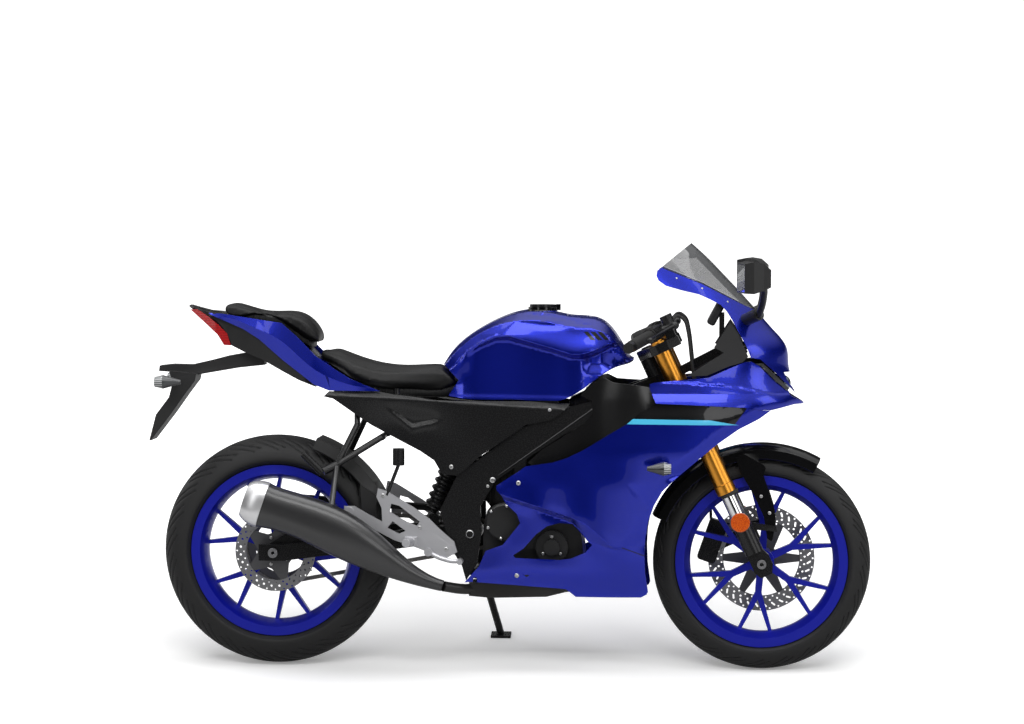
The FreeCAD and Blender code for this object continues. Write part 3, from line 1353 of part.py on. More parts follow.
def make_cowls():
    cowl = nose_shell(shell)
    opening = side_plate(lamp_opening, -42, 42)
    shaped("mid_cowl", largest(cowl.common(side_plate(mid_cowl_outline, -260, 260))))
    upper = cowl.common(side_plate(upper_cowl_outline, -260, 260)).cut(opening)
    shaped("upper_cowl", largest(upper))
    screen = nose_shell(shell - 0.8)
    shaped("windscreen", largest(screen.common(side_plate(screen_outline, -260, 260))))


inner_panel_outline = [(171, 748), (177, 758), (205, 782), (223, 794), (236, 797), (262, 784), (345, 777),
                       (358, 775), (376, 735), (366, 706), (330, 668), (285, 636), (240, 612), (190, 588),
                       (130, 560), (60, 545), (30, 566), (66, 600), (124, 636), (180, 672), (204, 700),
                       (202, 734)]


def make_inner_panels():
    """The panels ahead of the tank, from the frame spars out to the fairing."""
    stations = [
        (20, [(115, 810), (115, 735), (115, 530)]),
        (165, [(116, 810), (115, 735), (115, 530)]),
        (210, [(118, 810), (117, 735), (116, 530)]),
        (262, [(130, 810), (132, 735), (128, 530)]),
        (310, [(150, 810), (154, 735), (150, 530)]),
        (352, [(166, 810), (172, 735), (170, 530)]),
        (390, [(172, 810), (178, 735), (176, 530)]),
    ]
    panel = thin_loft(stations, shell).common(side_plate(inner_panel_outline, 60, 200))
    panel = panel.cut([named("main_frame"), named("side_fairings"), named("mid_cowl"), named("radiator")])
    shaped("inner_panels", both_sides(largest(panel)))


make_fuel_tank()
make_fuel_lid()
make_rider_seat()
make_pillion_seat()
make_tail_panels()
make_tail_core()
make_subframe()
make_side_covers()
make_side_fairings()
make_cowls()
make_inner_panels()


# Nose equipment
def make_cowl_stay():
    """The bracket ahead of the steering head that carries the cowls, the lamp and the dials."""
    root = head_point(560) + forward * 20
    tip = Vector(along(552), 0, 872)
    beam = box_loft([(root.x, 0, root.z, 36, 26), (tip.x, 0, tip.z, 40, 26)])
    bar = Part.makeBox(22, 281, 20, Vector(tip.x - 4, -140.5, tip.z - 10))
    risers = [Part.makeBox(14, 16, 98, Vector(tip.x - 9, side * 56 - 8, tip.z)) for side in (-1, 1)]
    arms = [rod(Vector(tip.x + 8, side * 95, tip.z + 2), Vector(along(655), side * across(112), 889), 7)
            for side in (-1, 1)]
    lamp_arm = Part.makeBox(100, 30, 12, Vector(tip.x + 10, -15, 836))
    post = Part.makeBox(14, 30, 46, Vector(tip.x + 4, -15, 836))
    solid = joined([beam, bar] + risers + arms + [lamp_arm, post])
    solid = solid.cut([named("main_frame"), named("upper_cowl"), named("mid_cowl")])
    shaped("cowl_stay", largest(solid))


position_lamp_outline = [(640, 838), (655, 832), (693, 793), (728, 764), (734, 768), (700, 802), (662, 838)]


def position_lamps():
    """A slim light in the slot between the two cowls, on each side."""
    strip = nose_shell(shell).common(side_plate(position_lamp_outline, 20, 260))
    strip = largest(strip.cut([named("upper_cowl"), named("mid_cowl")]))
    return both_sides(strip).Solids


def make_headlamp():
    """The round projector in its housing behind the nose opening."""
    housing = box_loft([(along(640), 0, 786, 70, 84), (along(690), 0, 780, 76, 56)])
    barrel = Part.makeCylinder(26, 50, Vector(along(672), 0, 780), Vector(1, 0, 0))
    lens = Part.makeSphere(23, Vector(along(672) + 44, 0, 780))
    lug = Part.makeBox(50, 24, 27, Vector(along(612), -12, 812))
    solid = joined([housing, barrel, lens, lug])
    solid = solid.cut([named("cowl_stay"), named("upper_cowl"), named("mid_cowl")])
    shaped("headlamps", Part.makeCompound([largest(solid)] + position_lamps()))


def make_dials():
    """The flat display unit behind the screen."""
    unit = Part.makeBox(24, 144, 72, Vector(-12, -72, -36))
    unit = unit.makeFillet(8, unit.Edges)
    unit.Placement = Placement(Vector(along(535), 0, 972), Rotation(Vector(0, 1, 0), 28))
    solid = unit.cut(named("cowl_stay"))
    shaped("dials", largest(solid))


cockpit_outline = [(456, 803), (503, 833), (557, 868), (530, 882), (573, 950), (594, 920), (622, 858),
                   (606, 842), (572, 832), (512, 806)]


def make_cockpit_panels():
    """Black inner panels between the cowls, either side of the fork."""
    panel = side_plate(cockpit_outline, 139, 142)
    panel = panel.cut([named("upper_cowl"), named("mid_cowl"), named("cowl_stay")])
    shaped("cockpit_panels", both_sides(largest(panel)))


def make_mirrors():
    """Two mirrors on angled arms from feet on the upper cowl."""
    centre = Vector(along(616), across(300), 1074)
    head = box_loft([(-16, 0, -2, 146, 78), (8, 2, 0, 152, 84), (34, 6, 2, 140, 72), (56, 10, -2, 96, 46)])
    head.Placement = Placement(centre, Rotation(Vector(0, 0, 1), -8))
    arm = bent_tube([Vector(along(648), across(112), 962), Vector(along(660), across(160), 1000),
                     Vector(along(664), across(215), 1040), Vector(along(655), across(250), 1058)], 9)
    foot = rod(Vector(along(606), across(62), 950), Vector(along(650), across(118), 972), 17)
    solid = joined([head, arm, foot]).cut([named("upper_cowl"), named("windscreen")])
    shaped("mirrors", both_sides(largest(solid)))


def bullet(centre, way, length, radius):
    """A turn signal: a round lens running back to a point."""
    nose = Part.makeCone(radius, radius * 0.3, length * 0.62, centre, -way)
    lens = Part.makeCone(radius, radius * 0.72, length * 0.3, centre, way)
    return joined([nose, lens])


def front_indicators():
    side_panel = named("side_fairings")
    centre = Vector(along(398), across(232), 561)
    stalk = rod(Vector(along(392), across(180), 560), centre, 8)
    solid = joined([bullet(centre, Vector(1, 0, 0), 70, 19), stalk]).cut(side_panel)
    return both_sides(largest(solid)).Solids


# Tail equipment
plate_hole = 3.2
indicator_bar_half = 104
plate_hole_reach = 32
plate_foot = (-953, 686)
plate_head = (-1010, 611)


def make_plate_bracket():
    """The arm under the tail with the number plate holder at its end."""
    arm_outline = [(-748, 862), (-752, 853), (-802, 844), (-847, 832), (-902, 819), (-956, 820), (-990, 816),
                   (-992, 801), (-942, 798), (-884, 792), (-834, 801), (-771, 812), (-700, 820), (-700, 850)]
    holder_outline = [(-884, 796), (-888, 776), (-915, 740), plate_foot, plate_head, (-1014, 613),
                      (-996, 683), (-960, 731), (-950, 770), (-960, 803)]
    arm = side_plate(arm_outline, -24, 24)
    holder = side_plate(holder_outline, -52, 52)
    bar = across_rod(along(-950), 779, indicator_bar_half, 7)
    solid = joined([arm, holder, bar]).cut(named("tail_core"))
    run = Vector(along(plate_foot[0] - plate_head[0]), 0, plate_foot[1] - plate_head[1]).normalize()
    middle = Vector(along(-990), 0, 648)
    way = Vector(-run.z, 0, run.x)
    holes = [Part.makeCylinder(plate_hole, 120, middle + Vector(0, side * plate_hole_reach, 0) - way * 60,
                               way)
             for side in (-1, 1)]
    shaped("plate_bracket", largest(solid.cut(holes)))


def rear_indicators():
    centre = Vector(along(-966), 112, 776)
    solid = bullet(centre, Vector(-1, 0, 0), 78, 19)
    hole = across_rod(along(-950), 779, indicator_bar_half + gap, 7 + gap)
    return both_sides(largest(solid.cut(hole))).Solids


def make_indicators():
    """The four turn signals, on short stalks."""
    shaped("indicators", Part.makeCompound(front_indicators() + rear_indicators()))


# Rider's controls at the feet
rearset_low = spar_half + 12
rearset_high = rearset_low + 8
rearset_outline = [(-376, 493), (-352, 486), (-335, 476), (-277, 441), (-236, 412), (-211, 387), (-168, 350),
                   (-160, 322), (-190, 305), (-252, 326), (-293, 341), (-330, 352), (-400, 388), (-468, 418),
                   (-468, 444), (-440, 444), (-405, 424), (-364, 402), (-366, 440), (-380, 470)]


def make_rearset_brackets():
    """The bare metal plates that carry the foot pegs and pedals, bossed off the frame."""
    bracket = side_plate(rearset_outline, rearset_low, rearset_high)
    slots = [side_plate([(-340, 452), (-318, 446), (-262, 404), (-270, 392), (-300, 404), (-344, 430)], 0,
                        200),
             side_plate([(-336, 404), (-300, 378), (-318, 370), (-350, 386)], 0, 200)]
    bosses = [Part.makeCylinder(11, 20, Vector(along(x), rearset_low - 12 + gap, z), Vector(0, 1, 0))
              for x, z in ((-192, 386), (-176, 330))]
    stub = Part.makeCylinder(12, 14, Vector(along(-455), rearset_high - 8, 430), Vector(0, 1, 0))
    solid = joined([bracket.cut(slots)] + bosses + [stub])
    shaped("rearset_brackets", both_sides(largest(solid)))


def make_foot_pegs():
    """The rider's pegs, standing out from the rearset plates."""
    foot = Vector(along(-285), rearset_high + gap, 350)
    peg = rod(foot + Vector(0, 12, 0), foot + Vector(-6, 92, 4), 11)
    knuckle = Part.makeBox(34, 16, 26, foot + Vector(-17, 0, -13))
    shaped("foot_pegs", both_sides(joined([peg, knuckle])))


def make_pedals():
    """The brake pedal on the right and the gear lever on the left, each on its rearset plate."""
    pedals = []
    for side, tip_x in ((-1, -150), (1, -140)):
        level = rearset_high + 9
        route = [Vector(along(-238), side * level, 322), Vector(along(-206), side * (level + 2), 306),
                 Vector(along(-172), side * (level + 4), 298), Vector(along(tip_x), side * (level + 6), 300)]
        lever = bent_tube(route, 6)
        pad_foot = Vector(along(tip_x), side * (level + 4), 300)
        pad = rod(pad_foot, pad_foot + Vector(0, side * 34, 0), 8)
        hub = Part.makeCylinder(11, 16, Vector(along(-238), side * (rearset_high + gap), 322),
                                Vector(0, side, 0))
        pedals.append(joined([lever, pad, hub]))
    shaped("pedals", Part.makeCompound(pedals))


def make_pillion_hangers():
    """Two struts and a folding peg for the passenger on each side, bolted to the subframe."""
    joint = Vector(along(-488), 126, 556)
    struts = [rod(Vector(along(-436), 100, 664), joint, 8), rod(Vector(along(-368), 100, 630), joint, 8)]
    lugs = [rod(Vector(along(-368), 60, 630), Vector(along(-368), 106, 630), 9)]
    upper = rod(Vector(along(-436), 100, 664), Vector(along(-440), 60, 760), 8)
    peg = rod(Vector(along(-527), 140, 534), Vector(along(-579), 144, 586), 10)
    knuckle = rod(joint, Vector(along(-524), 140, 538), 11)
    solid = joined(struts + lugs + [upper, knuckle, peg]).cut(named("subframe"))
    shaped("pillion_hangers", both_sides(largest(solid)))


def make_rear_brake():
    """The rear caliper on its bracket, and its small fluid pot on the right rearset plate."""
    pot = Part.makeCylinder(16, 46, Vector(along(-320), -(rearset_low + 6), 556))
    neck = rod(Vector(along(-320), -(rearset_low + 6), 558), Vector(along(-352), -(rearset_low + 4), 474), 5)
    solid = joined([pot, neck]).cut([named("rearset_brackets")])
    shaped("rear_brake", Part.makeCompound([largest(solid), rear_caliper()]))


# Guards and the side stand
def hugger():
    """The mudguard over the front of the rear tyre, with its legs on the swingarm."""
    inner = rear_radius + 12
    half = rear_width / 2 + 6
    corners = [(inner - 30, half), (inner, half - 6), (inner, -half + 6), (inner - 30, -half)]
    outside = [(r + 3, y * (half + 3) / half) for r, y in corners]
    points = [Vector(r, y, 0) for r, y in outside + corners[::-1]]
    band = Part.Face(Part.makePolygon(points + points[:1])).revolve(Vector(0, 0, 0), Vector(0, 1, 0), -44)
    band.Placement = Placement(rear_axle, Rotation(Vector(0, 1, 0), -26))
    legs = [side_plate([(-430, 500), (-386, 470), (-386, 360), (-420, 360)], side * (half + 4) - 3,
                       side * (half + 4) + 3) for side in (-1, 1)]
    feet = [Part.makeBox(34, 30, 8, Vector(along(-420), side * (half + 16) - 15, 369.5)) for side in (-1, 1)]
    solid = joined([band] + legs + feet).cut([named("swingarm"), named("drive_chain")])
    return largest(solid)


def chain_guard(hugger_part):
    """The guard over the upper chain run."""
    cover = side_plate([(-640, 448), (-620, 456), (-240, 432), (-228, 422), (-228, 412), (-620, 430)],
                       chain_line + 10, chain_line + 13)
    roof = side_plate([(-620, 452), (-620, 456), (-240, 432), (-240, 428)], chain_line - 6, chain_line + 12)
    leg = side_plate([(-470, 445), (-440, 443), (-440, 330), (-470, 330)], arm_half - arm_thickness + 2,
                     arm_half - 4)
    link = side_plate([(-470, 445), (-440, 443), (-440, 436), (-470, 438)], chain_line + 10, arm_half - 4)
    solid = joined([cover, roof, leg, link]).cut(named("swingarm")).cut(hugger_part)
    return largest(solid)


def make_guards():
    """The rear mudguard and the chain guard, both carried by the swingarm."""
    mudguard = hugger()
    shaped("guards", Part.makeCompound([mudguard, chain_guard(mudguard)]))


def make_side_stand():
    """The leg on the left, with its foot flat on the floor once the machine leans."""
    root = stand_pivot + stand_axis * 12
    leg = rod(root, stand_foot, 10)
    knuckle = Part.makeCylinder(17, 22, stand_pivot, stand_axis)
    hole = Part.makeCylinder(6 + running, 60, stand_pivot - stand_axis * 20, stand_axis)
    sole = Part.makeBox(56, 44, 7, Vector(-28, -22, -sole_height))
    sole.Placement = Placement(stand_foot, Rotation(Vector(1, 0, 0), float(lean)))
    shaped("side_stand", joined([leg, knuckle, sole]).cut(hole))


make_cowl_stay()
make_headlamp()
make_dials()
make_cockpit_panels()
make_mirrors()
make_plate_bracket()
make_indicators()
make_rearset_brackets()
make_foot_pegs()
make_pedals()
make_pillion_hangers()
make_silencer()
make_rear_brake()
make_guards()
make_side_stand()


# Leaning the machine over and setting its origin below its middle, on the floor
document.recompute()
leaned = Placement(Vector(0, 0, 0), Rotation(Vector(1, 0, 0), -float(lean)))
reach = FreeCAD.BoundBox()
for item, label, place in sub_parts:
    stood = item.Shape.copy()
    stood.Placement = leaned.multiply(place).multiply(stood.Placement)
    reach.add(stood.optimalBoundingBox(False, False))
shift = Vector(-reach.Center.x, -reach.Center.y, -reach.ZMin)
standing = Placement(shift, leaned.Rotation)
for item, label, place in sub_parts:
    item.Placement = standing.multiply(place).multiply(item.Placement)
document.recompute()

faults = [thing.Name for thing in document.Objects if {"Invalid", "Error"} & set(thing.State)]
for item, label, place in sub_parts:
    if item.Shape.isNull() or not item.Shape.isValid():
        faults.append(label)
if faults:
    raise RuntimeError("not built: " + ", ".join(faults))

os.makedirs("parts", exist_ok=True)
for item, label, place in sub_parts:
    item.Shape.exportStep("parts/" + label + ".step")
print("sub-parts", len(sub_parts))
print("shift", round(shift.x, 4), round(shift.y, 4), round(shift.z, 4))
print("size", round(reach.XLength, 2), round(reach.YLength, 2), round(reach.ZLength, 2))
print("stand pivot", standing.multVec(stand_pivot), "axis", standing.Rotation.multVec(stand_axis),
      "turn", math.degrees(stand_down.getAngle(stand_folded)))
print("filler hinge", standing.multVec(Vector(along(hinge_x), 0, hinge_z)))
print("steering foot", standing.multVec(steering_foot))
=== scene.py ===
import json
import math

import bmesh
import bpy
import numpy as np
from mathutils import Matrix, Vector
from mathutils.bvhtree import BVHTree


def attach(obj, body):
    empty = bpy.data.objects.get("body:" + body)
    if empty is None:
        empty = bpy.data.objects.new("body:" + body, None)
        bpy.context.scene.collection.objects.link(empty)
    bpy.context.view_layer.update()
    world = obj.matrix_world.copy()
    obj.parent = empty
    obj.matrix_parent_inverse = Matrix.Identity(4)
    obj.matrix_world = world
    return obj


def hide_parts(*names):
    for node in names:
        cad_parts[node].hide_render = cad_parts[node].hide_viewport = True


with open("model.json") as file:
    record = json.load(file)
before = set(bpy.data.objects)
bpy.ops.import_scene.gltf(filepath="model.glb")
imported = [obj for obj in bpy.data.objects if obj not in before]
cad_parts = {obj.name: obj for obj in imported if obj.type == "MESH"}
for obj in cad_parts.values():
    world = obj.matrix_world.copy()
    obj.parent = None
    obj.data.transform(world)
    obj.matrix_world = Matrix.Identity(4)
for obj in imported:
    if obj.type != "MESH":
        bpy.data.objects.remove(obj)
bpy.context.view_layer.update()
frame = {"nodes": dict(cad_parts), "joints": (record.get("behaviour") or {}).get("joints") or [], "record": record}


# The machine's own axes
# The machine leans on its side stand. Its own axes come from the rear wheel's spindle: +X ahead,
# +Y to its left, +Z up, with the floor at 0 and the origin midway between the axles.
joints = {joint["name"]: joint for joint in frame["joints"]}
spindle = Vector(joints["rear_wheel_spin"]["pos_m"])
nose_spindle = Vector(joints["front_wheel_spin"]["pos_m"])
to_left = Vector(joints["rear_wheel_spin"]["axis"]).normalized()
to_front = Vector((1, 0, 0))
to_sky = to_front.cross(to_left)
half_base = (nose_spindle - spindle).dot(to_front) / 2
rear_wheel_height = 0.314
middle = spindle + to_front * half_base - to_sky * rear_wheel_height
machine = Matrix.Translation(middle) @ Matrix((to_front, to_left, to_sky)).transposed().to_4x4()


def spot(x, y, z):
    """A place given in millimetres on the upright machine."""
    return machine @ Vector((x / 1000, y / 1000, z / 1000))


def wheel_frame(joint_name):
    """The matrix from a wheel's own axes, with Y along its spindle, to the floor's."""
    return Matrix.Translation(Vector(joints[joint_name]["pos_m"])) @ machine.to_3x3().to_4x4()


def built(name, points, faces):
    """A new mesh from points and faces."""
    mesh = bpy.data.meshes.new(name)
    mesh.from_pydata(points, [], faces)
    return mesh


def link(name, data):
    """A new object in the scene."""
    piece = bpy.data.objects.new(name, data)
    bpy.context.scene.collection.objects.link(piece)
    return piece


# Materials
# A finish is built around one Principled shader, with patterns that read Object coordinates.
class Signal:
    """One socket of a node tree. Python's own operators on it add Math nodes."""

    def __init__(self, tree, socket):
        self.tree = tree
        self.socket = socket

    def eased(self, low, high):
        """0 below low, 1 above high, and a soft step between."""
        return add_node(self.tree, "ShaderNodeMapRange", {"Value": self, "From Min": low, "From Max": high},
                        "Result", interpolation_type="SMOOTHSTEP")


def math_method(operation, turned):
    """A method for signals that adds one Math node."""
    def method(signal, *others):
        values = (signal, *others)[::-1 if turned else 1]
        return add_node(signal.tree, "ShaderNodeMath", dict(enumerate(values)), operation=operation)
    return method


for method_name, operation in {"__add__": "ADD", "__sub__": "SUBTRACT", "__mul__": "MULTIPLY",
                               "__truediv__": "DIVIDE", "__gt__": "GREATER_THAN", "__lt__": "LESS_THAN",
                               "__abs__": "ABSOLUTE", "least": "MINIMUM", "most": "MAXIMUM",
                               "sine": "SINE", "root": "SQRT", "fraction": "FRACT"}.items():
    setattr(Signal, method_name, math_method(operation, False))
for method_name, operation in {"__radd__": "ADD", "__rsub__": "SUBTRACT", "__rmul__": "MULTIPLY"}.items():
    setattr(Signal, method_name, math_method(operation, True))


def feed(tree, socket, value):
    """Join a signal to a socket, or set the socket to a plain value."""
    if isinstance(value, Signal):
        tree.links.new(value.socket, socket)
    elif socket.type == "RGBA":
        socket.default_value = (*value[:3], 1.0)
    else:
        socket.default_value = value


def add_node(tree, kind, inputs=None, out=0, **settings):
    """A node with its settings and inputs. Gives back one of its outputs."""
    node = tree.nodes.new(kind)
    for key, value in settings.items():
        setattr(node, key, value)
    for key, value in (inputs or {}).items():
        feed(tree, node.inputs[key], value)
    return Signal(tree, node.outputs[out])


class Finish:
    """A material under construction around one Principled shader."""

    def __init__(self, name, colour, roughness, metallic=0.0, coat=0.0, coat_roughness=0.05, ior=1.5):
        self.material = bpy.data.materials.new(name)
        self.material.use_nodes = True
        self.tree = self.material.node_tree
        self.shader = self.tree.nodes["Principled BSDF"]
        for label, value in (("Base Color", colour), ("Roughness", roughness), ("Metallic", metallic),
                             ("Coat Weight", coat), ("Coat Roughness", coat_roughness), ("IOR", ior)):
            self.set(label, value)

    def set(self, name, value):
        feed(self.tree, self.shader.inputs[name], value)

    def make(self, kind, inputs=None, out=0, **settings):
        return add_node(self.tree, "ShaderNode" + kind, inputs, out, **settings)

    def here(self):
        return self.make("TexCoord", out="Object")

    def noise(self, scale, detail):
        return self.make("TexNoise", {"Vector": self.here(), "Scale": scale, "Detail": detail})

    def cells(self, scale):
        return self.make("TexVoronoi", {"Vector": self.here(), "Scale": scale}, out="Distance")

    def mix(self, share, first, second):
        """A colour between two, by a share from 0 to 1."""
        return self.make("Mix", {0: share, 6: first, 7: second}, out=2, data_type="RGBA")

    def paint(self, share, first, second):
        """A base colour between two."""
        self.set("Base Color", self.mix(share, first, second))

    def bump(self, height, strength, distance):
        """Relief from a height, in metres at full strength."""
        self.set("Normal", self.make("Bump", {"Height": height, "Strength": strength, "Distance": distance}))

    def upright(self):
        """Forward, left and up on the upright machine, in metres, at each point."""
        place = self.here()
        return [self.make("VectorMath", {0: place, 1: tuple(axis)}, out="Value", operation="DOT_PRODUCT")
                - middle.dot(axis) for axis in (to_front, to_left, to_sky)]


def grained(name, colour, roughness, grain, relief=None, swing=0, **shader):
    """A finish with one fine noise, of a scale and detail, behind its relief and its change of shine."""
    finish = Finish(name, colour, roughness, **shader)
    noise = finish.noise(*grain)
    if swing:
        finish.set("Roughness", roughness + noise * swing)
    if relief:
        finish.bump(noise, *relief)
    return finish


# Studio
# A white floor and a white surround that darkens towards the horizon in what shiny parts mirror, and
# soft lamps above and beside. The camera is held level with the machine's own side, as in the
# photograph.
image_width = 1024
millimetres_per_pixel = 2.735
camera_place = spot(582, -9500, 1290)
camera_target = spot(-22, 0, 832)
camera_roll = math.radians(0.26)
camera_data = bpy.data.cameras.new("camera")
camera = link("camera", camera_data)
view_back = (camera_place - camera_target).normalized()
view_right = to_sky.cross(view_back).normalized()
view_up = view_back.cross(view_right)
facing = Matrix((view_right, view_up, view_back)).transposed().to_4x4()
camera.matrix_world = Matrix.Translation(camera_place) @ facing @ Matrix.Rotation(camera_roll, 4, "Z")
camera_data.sensor_fit = "HORIZONTAL"
camera_reach = (camera_place - camera_target).length * 1000 / millimetres_per_pixel
camera_data.lens = camera_data.sensor_width * camera_reach / image_width
camera_data.clip_end = 200
bpy.context.scene.camera = camera
bpy.context.scene.view_settings.view_transform = "Standard"


def camera_rays(tree):
    """1 for what the camera sees, straight or through glass."""
    return add_node(tree, "ShaderNodeLightPath", out="Is Camera Ray").most(
        add_node(tree, "ShaderNodeLightPath", out="Is Transmission Ray"))


def mirrored_rays(tree):
    return add_node(tree, "ShaderNodeLightPath", out="Is Glossy Ray")


floor_reach = 60
floor = link("floor", built("floor", [(-floor_reach, -floor_reach, 0), (floor_reach, -floor_reach, 0),
                                      (floor_reach, floor_reach, 0), (-floor_reach, floor_reach, 0)],
                            [(0, 1, 2, 3)]))
floor_finish = Finish("floor", (0.3, 0.3, 0.3), 0.95)
floor_across, floor_along = [floor_finish.make("SeparateXYZ", {0: floor_finish.here()}, out=axis)
                             for axis in (0, 1)]
floor_distance = (floor_across * floor_across * 0.6 + floor_along * floor_along).root()
glow = floor_finish.make("Emission", {"Strength": 0.2 + 0.8 * floor_distance.eased(0.5, 2.6)})
white = floor_finish.make("BsdfDiffuse", {"Color": (1, 1, 1)})
lit = floor_finish.make("AddShader", {0: glow, 1: white})
floor_seen = camera_rays(floor_finish.tree).most(0.4 * mirrored_rays(floor_finish.tree))
grey = Signal(floor_finish.tree, floor_finish.shader.outputs[0])
feed(floor_finish.tree, floor_finish.tree.nodes["Material Output"].inputs["Surface"],
     floor_finish.make("MixShader", {0: floor_seen, 1: grey, 2: lit}))
floor.data.materials.append(floor_finish.material)

world = bpy.data.worlds.new("surround")
bpy.context.scene.world = world
world.use_nodes = True
surround = world.node_tree
sky = surround.nodes["Background"]
sky.inputs["Color"].default_value = (1, 1, 1, 1)
sky_way = add_node(surround, "ShaderNodeTexCoord", out="Generated")
sky_height = add_node(surround, "ShaderNodeSeparateXYZ", {0: sky_way}, out=2)
sky_fill = 0.16
sky_mirror_glow = 0.02 + 0.98 * sky_height.eased(0.18, 0.75)
feed(surround, sky.inputs["Strength"], sky_fill + (1 - sky_fill) * camera_rays(surround)
     + (sky_mirror_glow - sky_fill) * mirrored_rays(surround))

# Each lamp has its place and the point it is aimed at, in millimetres on the upright machine, its width
# and height in metres, and its power in watts.
softboxes = {"overhead": ((0, -500, 3900), (0, 0, 600), 5.6, 2.4, 120),
             "key": ((-200, -4300, 4300), (0, 0, 700), 6.0, 1.6, 140),
             "ahead": ((4800, -1500, 2300), (300, 0, 700), 2.0, 2.4, 40),
             "front_card": ((3300, -5400, 1500), (300, 0, 600), 2.2, 2.0, 45),
             "rear_card": ((-3600, -5000, 1700), (-300, 0, 700), 1.6, 2.0, 30),
             "behind": ((-4600, 2200, 2600), (-300, 0, 700), 2.0, 2.4, 40)}
for name, (place, target, width, height, power) in softboxes.items():
    data = bpy.data.lights.new(name, "AREA")
    data.shape = "RECTANGLE"
    data.size = width
    data.size_y = height
    data.energy = power
    place = spot(*place)
    aim = (place - spot(*target)).to_track_quat("Z", "Y").to_matrix().to_4x4()
    link(name, data).matrix_world = Matrix.Translation(place) @ aim


# How a piece is finished
# Most imported parts are dressed the same way: a merged copy with rounded edges, which stands for
# the plain solid, rides on its body and takes its finish.
bodies_of = {node: body for body, nodes in frame["record"]["behaviour"]["bodies"].items() for node in nodes}


def fix(piece, finish, node, stands_in=False, body=None):
    """Give a piece its finish and a node's body. It may stand in for the node."""
    piece.data.materials.clear()
    piece.data.materials.append(finish.material)
    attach(piece, body or bodies_of[node])
    if stands_in:
        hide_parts(node)
    return piece


def skinned(node, mesh, finish):
    """The mesh as the finished piece that stands in for a node."""
    return fix(link(node + "_skin", mesh), finish, node, stands_in=True)


def smooth(mesh, degrees):
    """Shade smooth, with sharp edges where faces meet at more than this angle."""
    mesh.polygons.foreach_set("use_smooth", [True] * len(mesh.polygons))
    mesh.set_sharp_from_angle(angle=math.radians(degrees))
    return mesh


def poured(shape, name):
    """A new mesh from the shape, which is freed."""
    mesh = bpy.data.meshes.new(name)
    shape.to_mesh(mesh)
    shape.free()
    return mesh


def moved(mesh, places):
    """Put the mesh's points at these places."""
    mesh.vertices.foreach_set("co", places.ravel())
    mesh.update()
    return mesh


def faced_out(mesh, doubles=None):
    """A mesh like this one, with its doubles merged if a distance is given, and its faces outwards."""
    shape = bmesh.new()
    shape.from_mesh(mesh)
    if doubles:
        bmesh.ops.remove_doubles(shape, verts=shape.verts, dist=doubles)
    bmesh.ops.recalc_face_normals(shape, faces=shape.faces)
    return poured(shape, mesh.name)


def modified(piece, kind, **settings):
    """Add a modifier to a piece."""
    modifier = piece.modifiers.new(kind.lower(), kind)
    for key, value in settings.items():
        setattr(modifier, key, value)
    return modifier


def final_mesh(piece):
    """The mesh of a piece with its modifiers applied. The piece itself is removed."""
    mesh = bpy.data.meshes.new_from_object(piece.evaluated_get(bpy.context.evaluated_depsgraph_get()))
    bpy.data.objects.remove(piece)
    return mesh


def merged(node, flat=0.6):
    """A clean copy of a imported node's mesh, with faces joined that are flat within this angle."""
    shape = bmesh.new()
    shape.from_mesh(frame["nodes"][node].data)
    bmesh.ops.remove_doubles(shape, verts=shape.verts, dist=0.00002)
    bmesh.ops.dissolve_degenerate(shape, dist=0.00001, edges=shape.edges)
    bmesh.ops.dissolve_limit(shape, angle_limit=math.radians(flat), verts=shape.verts, edges=shape.edges)
    return shape


widest_plain_edge = 1.5


def dress(finish, angle=34, **edges):
    """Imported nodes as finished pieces, each with its edges rounded by so many millimetres.

    A wide rounding has one step more."""
    for node, edge in edges.items():
        piece = skinned(node, smooth(poured(merged(node), node + "_skin"), angle), finish)
        if edge:
            modified(piece, "BEVEL", width=edge / 1000, segments=3 if edge > widest_plain_edge else 2,
                     limit_method="ANGLE", angle_limit=math.radians(angle), harden_normals=True)


def polar(radius, angle, x=0, y=0):
    """The point at this distance and angle from (x, y)."""
    return x + radius * math.cos(angle), y + radius * math.sin(angle)


# Wheels
# Cast aluminium wheels in blue paint. Six arms split into twelve thin spokes, and the rims carry
# tubeless sport tyres.
wheel_blue = grained("wheel_blue", (0.004, 0.01, 0.4), 0.3, (900, 2), (0.12, 0.0002), 0.12,
                     metallic=0.4, coat=0.3, coat_roughness=0.15)
dress(wheel_blue, 30, front_rim=1.6, rear_rim=1.6)

tyre_rubber = Finish("tyre_rubber", (0.01, 0.01, 0.0105), 0.66, ior=1.38)
rubber_cloud = tyre_rubber.noise(14, 2)
tyre_rubber.paint(rubber_cloud, (0.007, 0.007, 0.0075), (0.016, 0.016, 0.0165))
tyre_rubber.set("Roughness", 0.5 + rubber_cloud * 0.2)
tyre_rubber.bump(tyre_rubber.noise(420, 4), 0.35, 0.0003)

# Each tread groove has its half width, its soft edge, the power of its sweep, its start within a
# repeat, and the angles on the crown between which it runs.
tread_grooves = ((4.6, 1.8, 1.5, 0.0, 8, 56), (3.6, 1.6, 1.2, 0.48, 30, 64))
tread_depth = 3.2
tread_repeats = 26
tread_end = 71
rings_round_tyre = 28 * tread_repeats


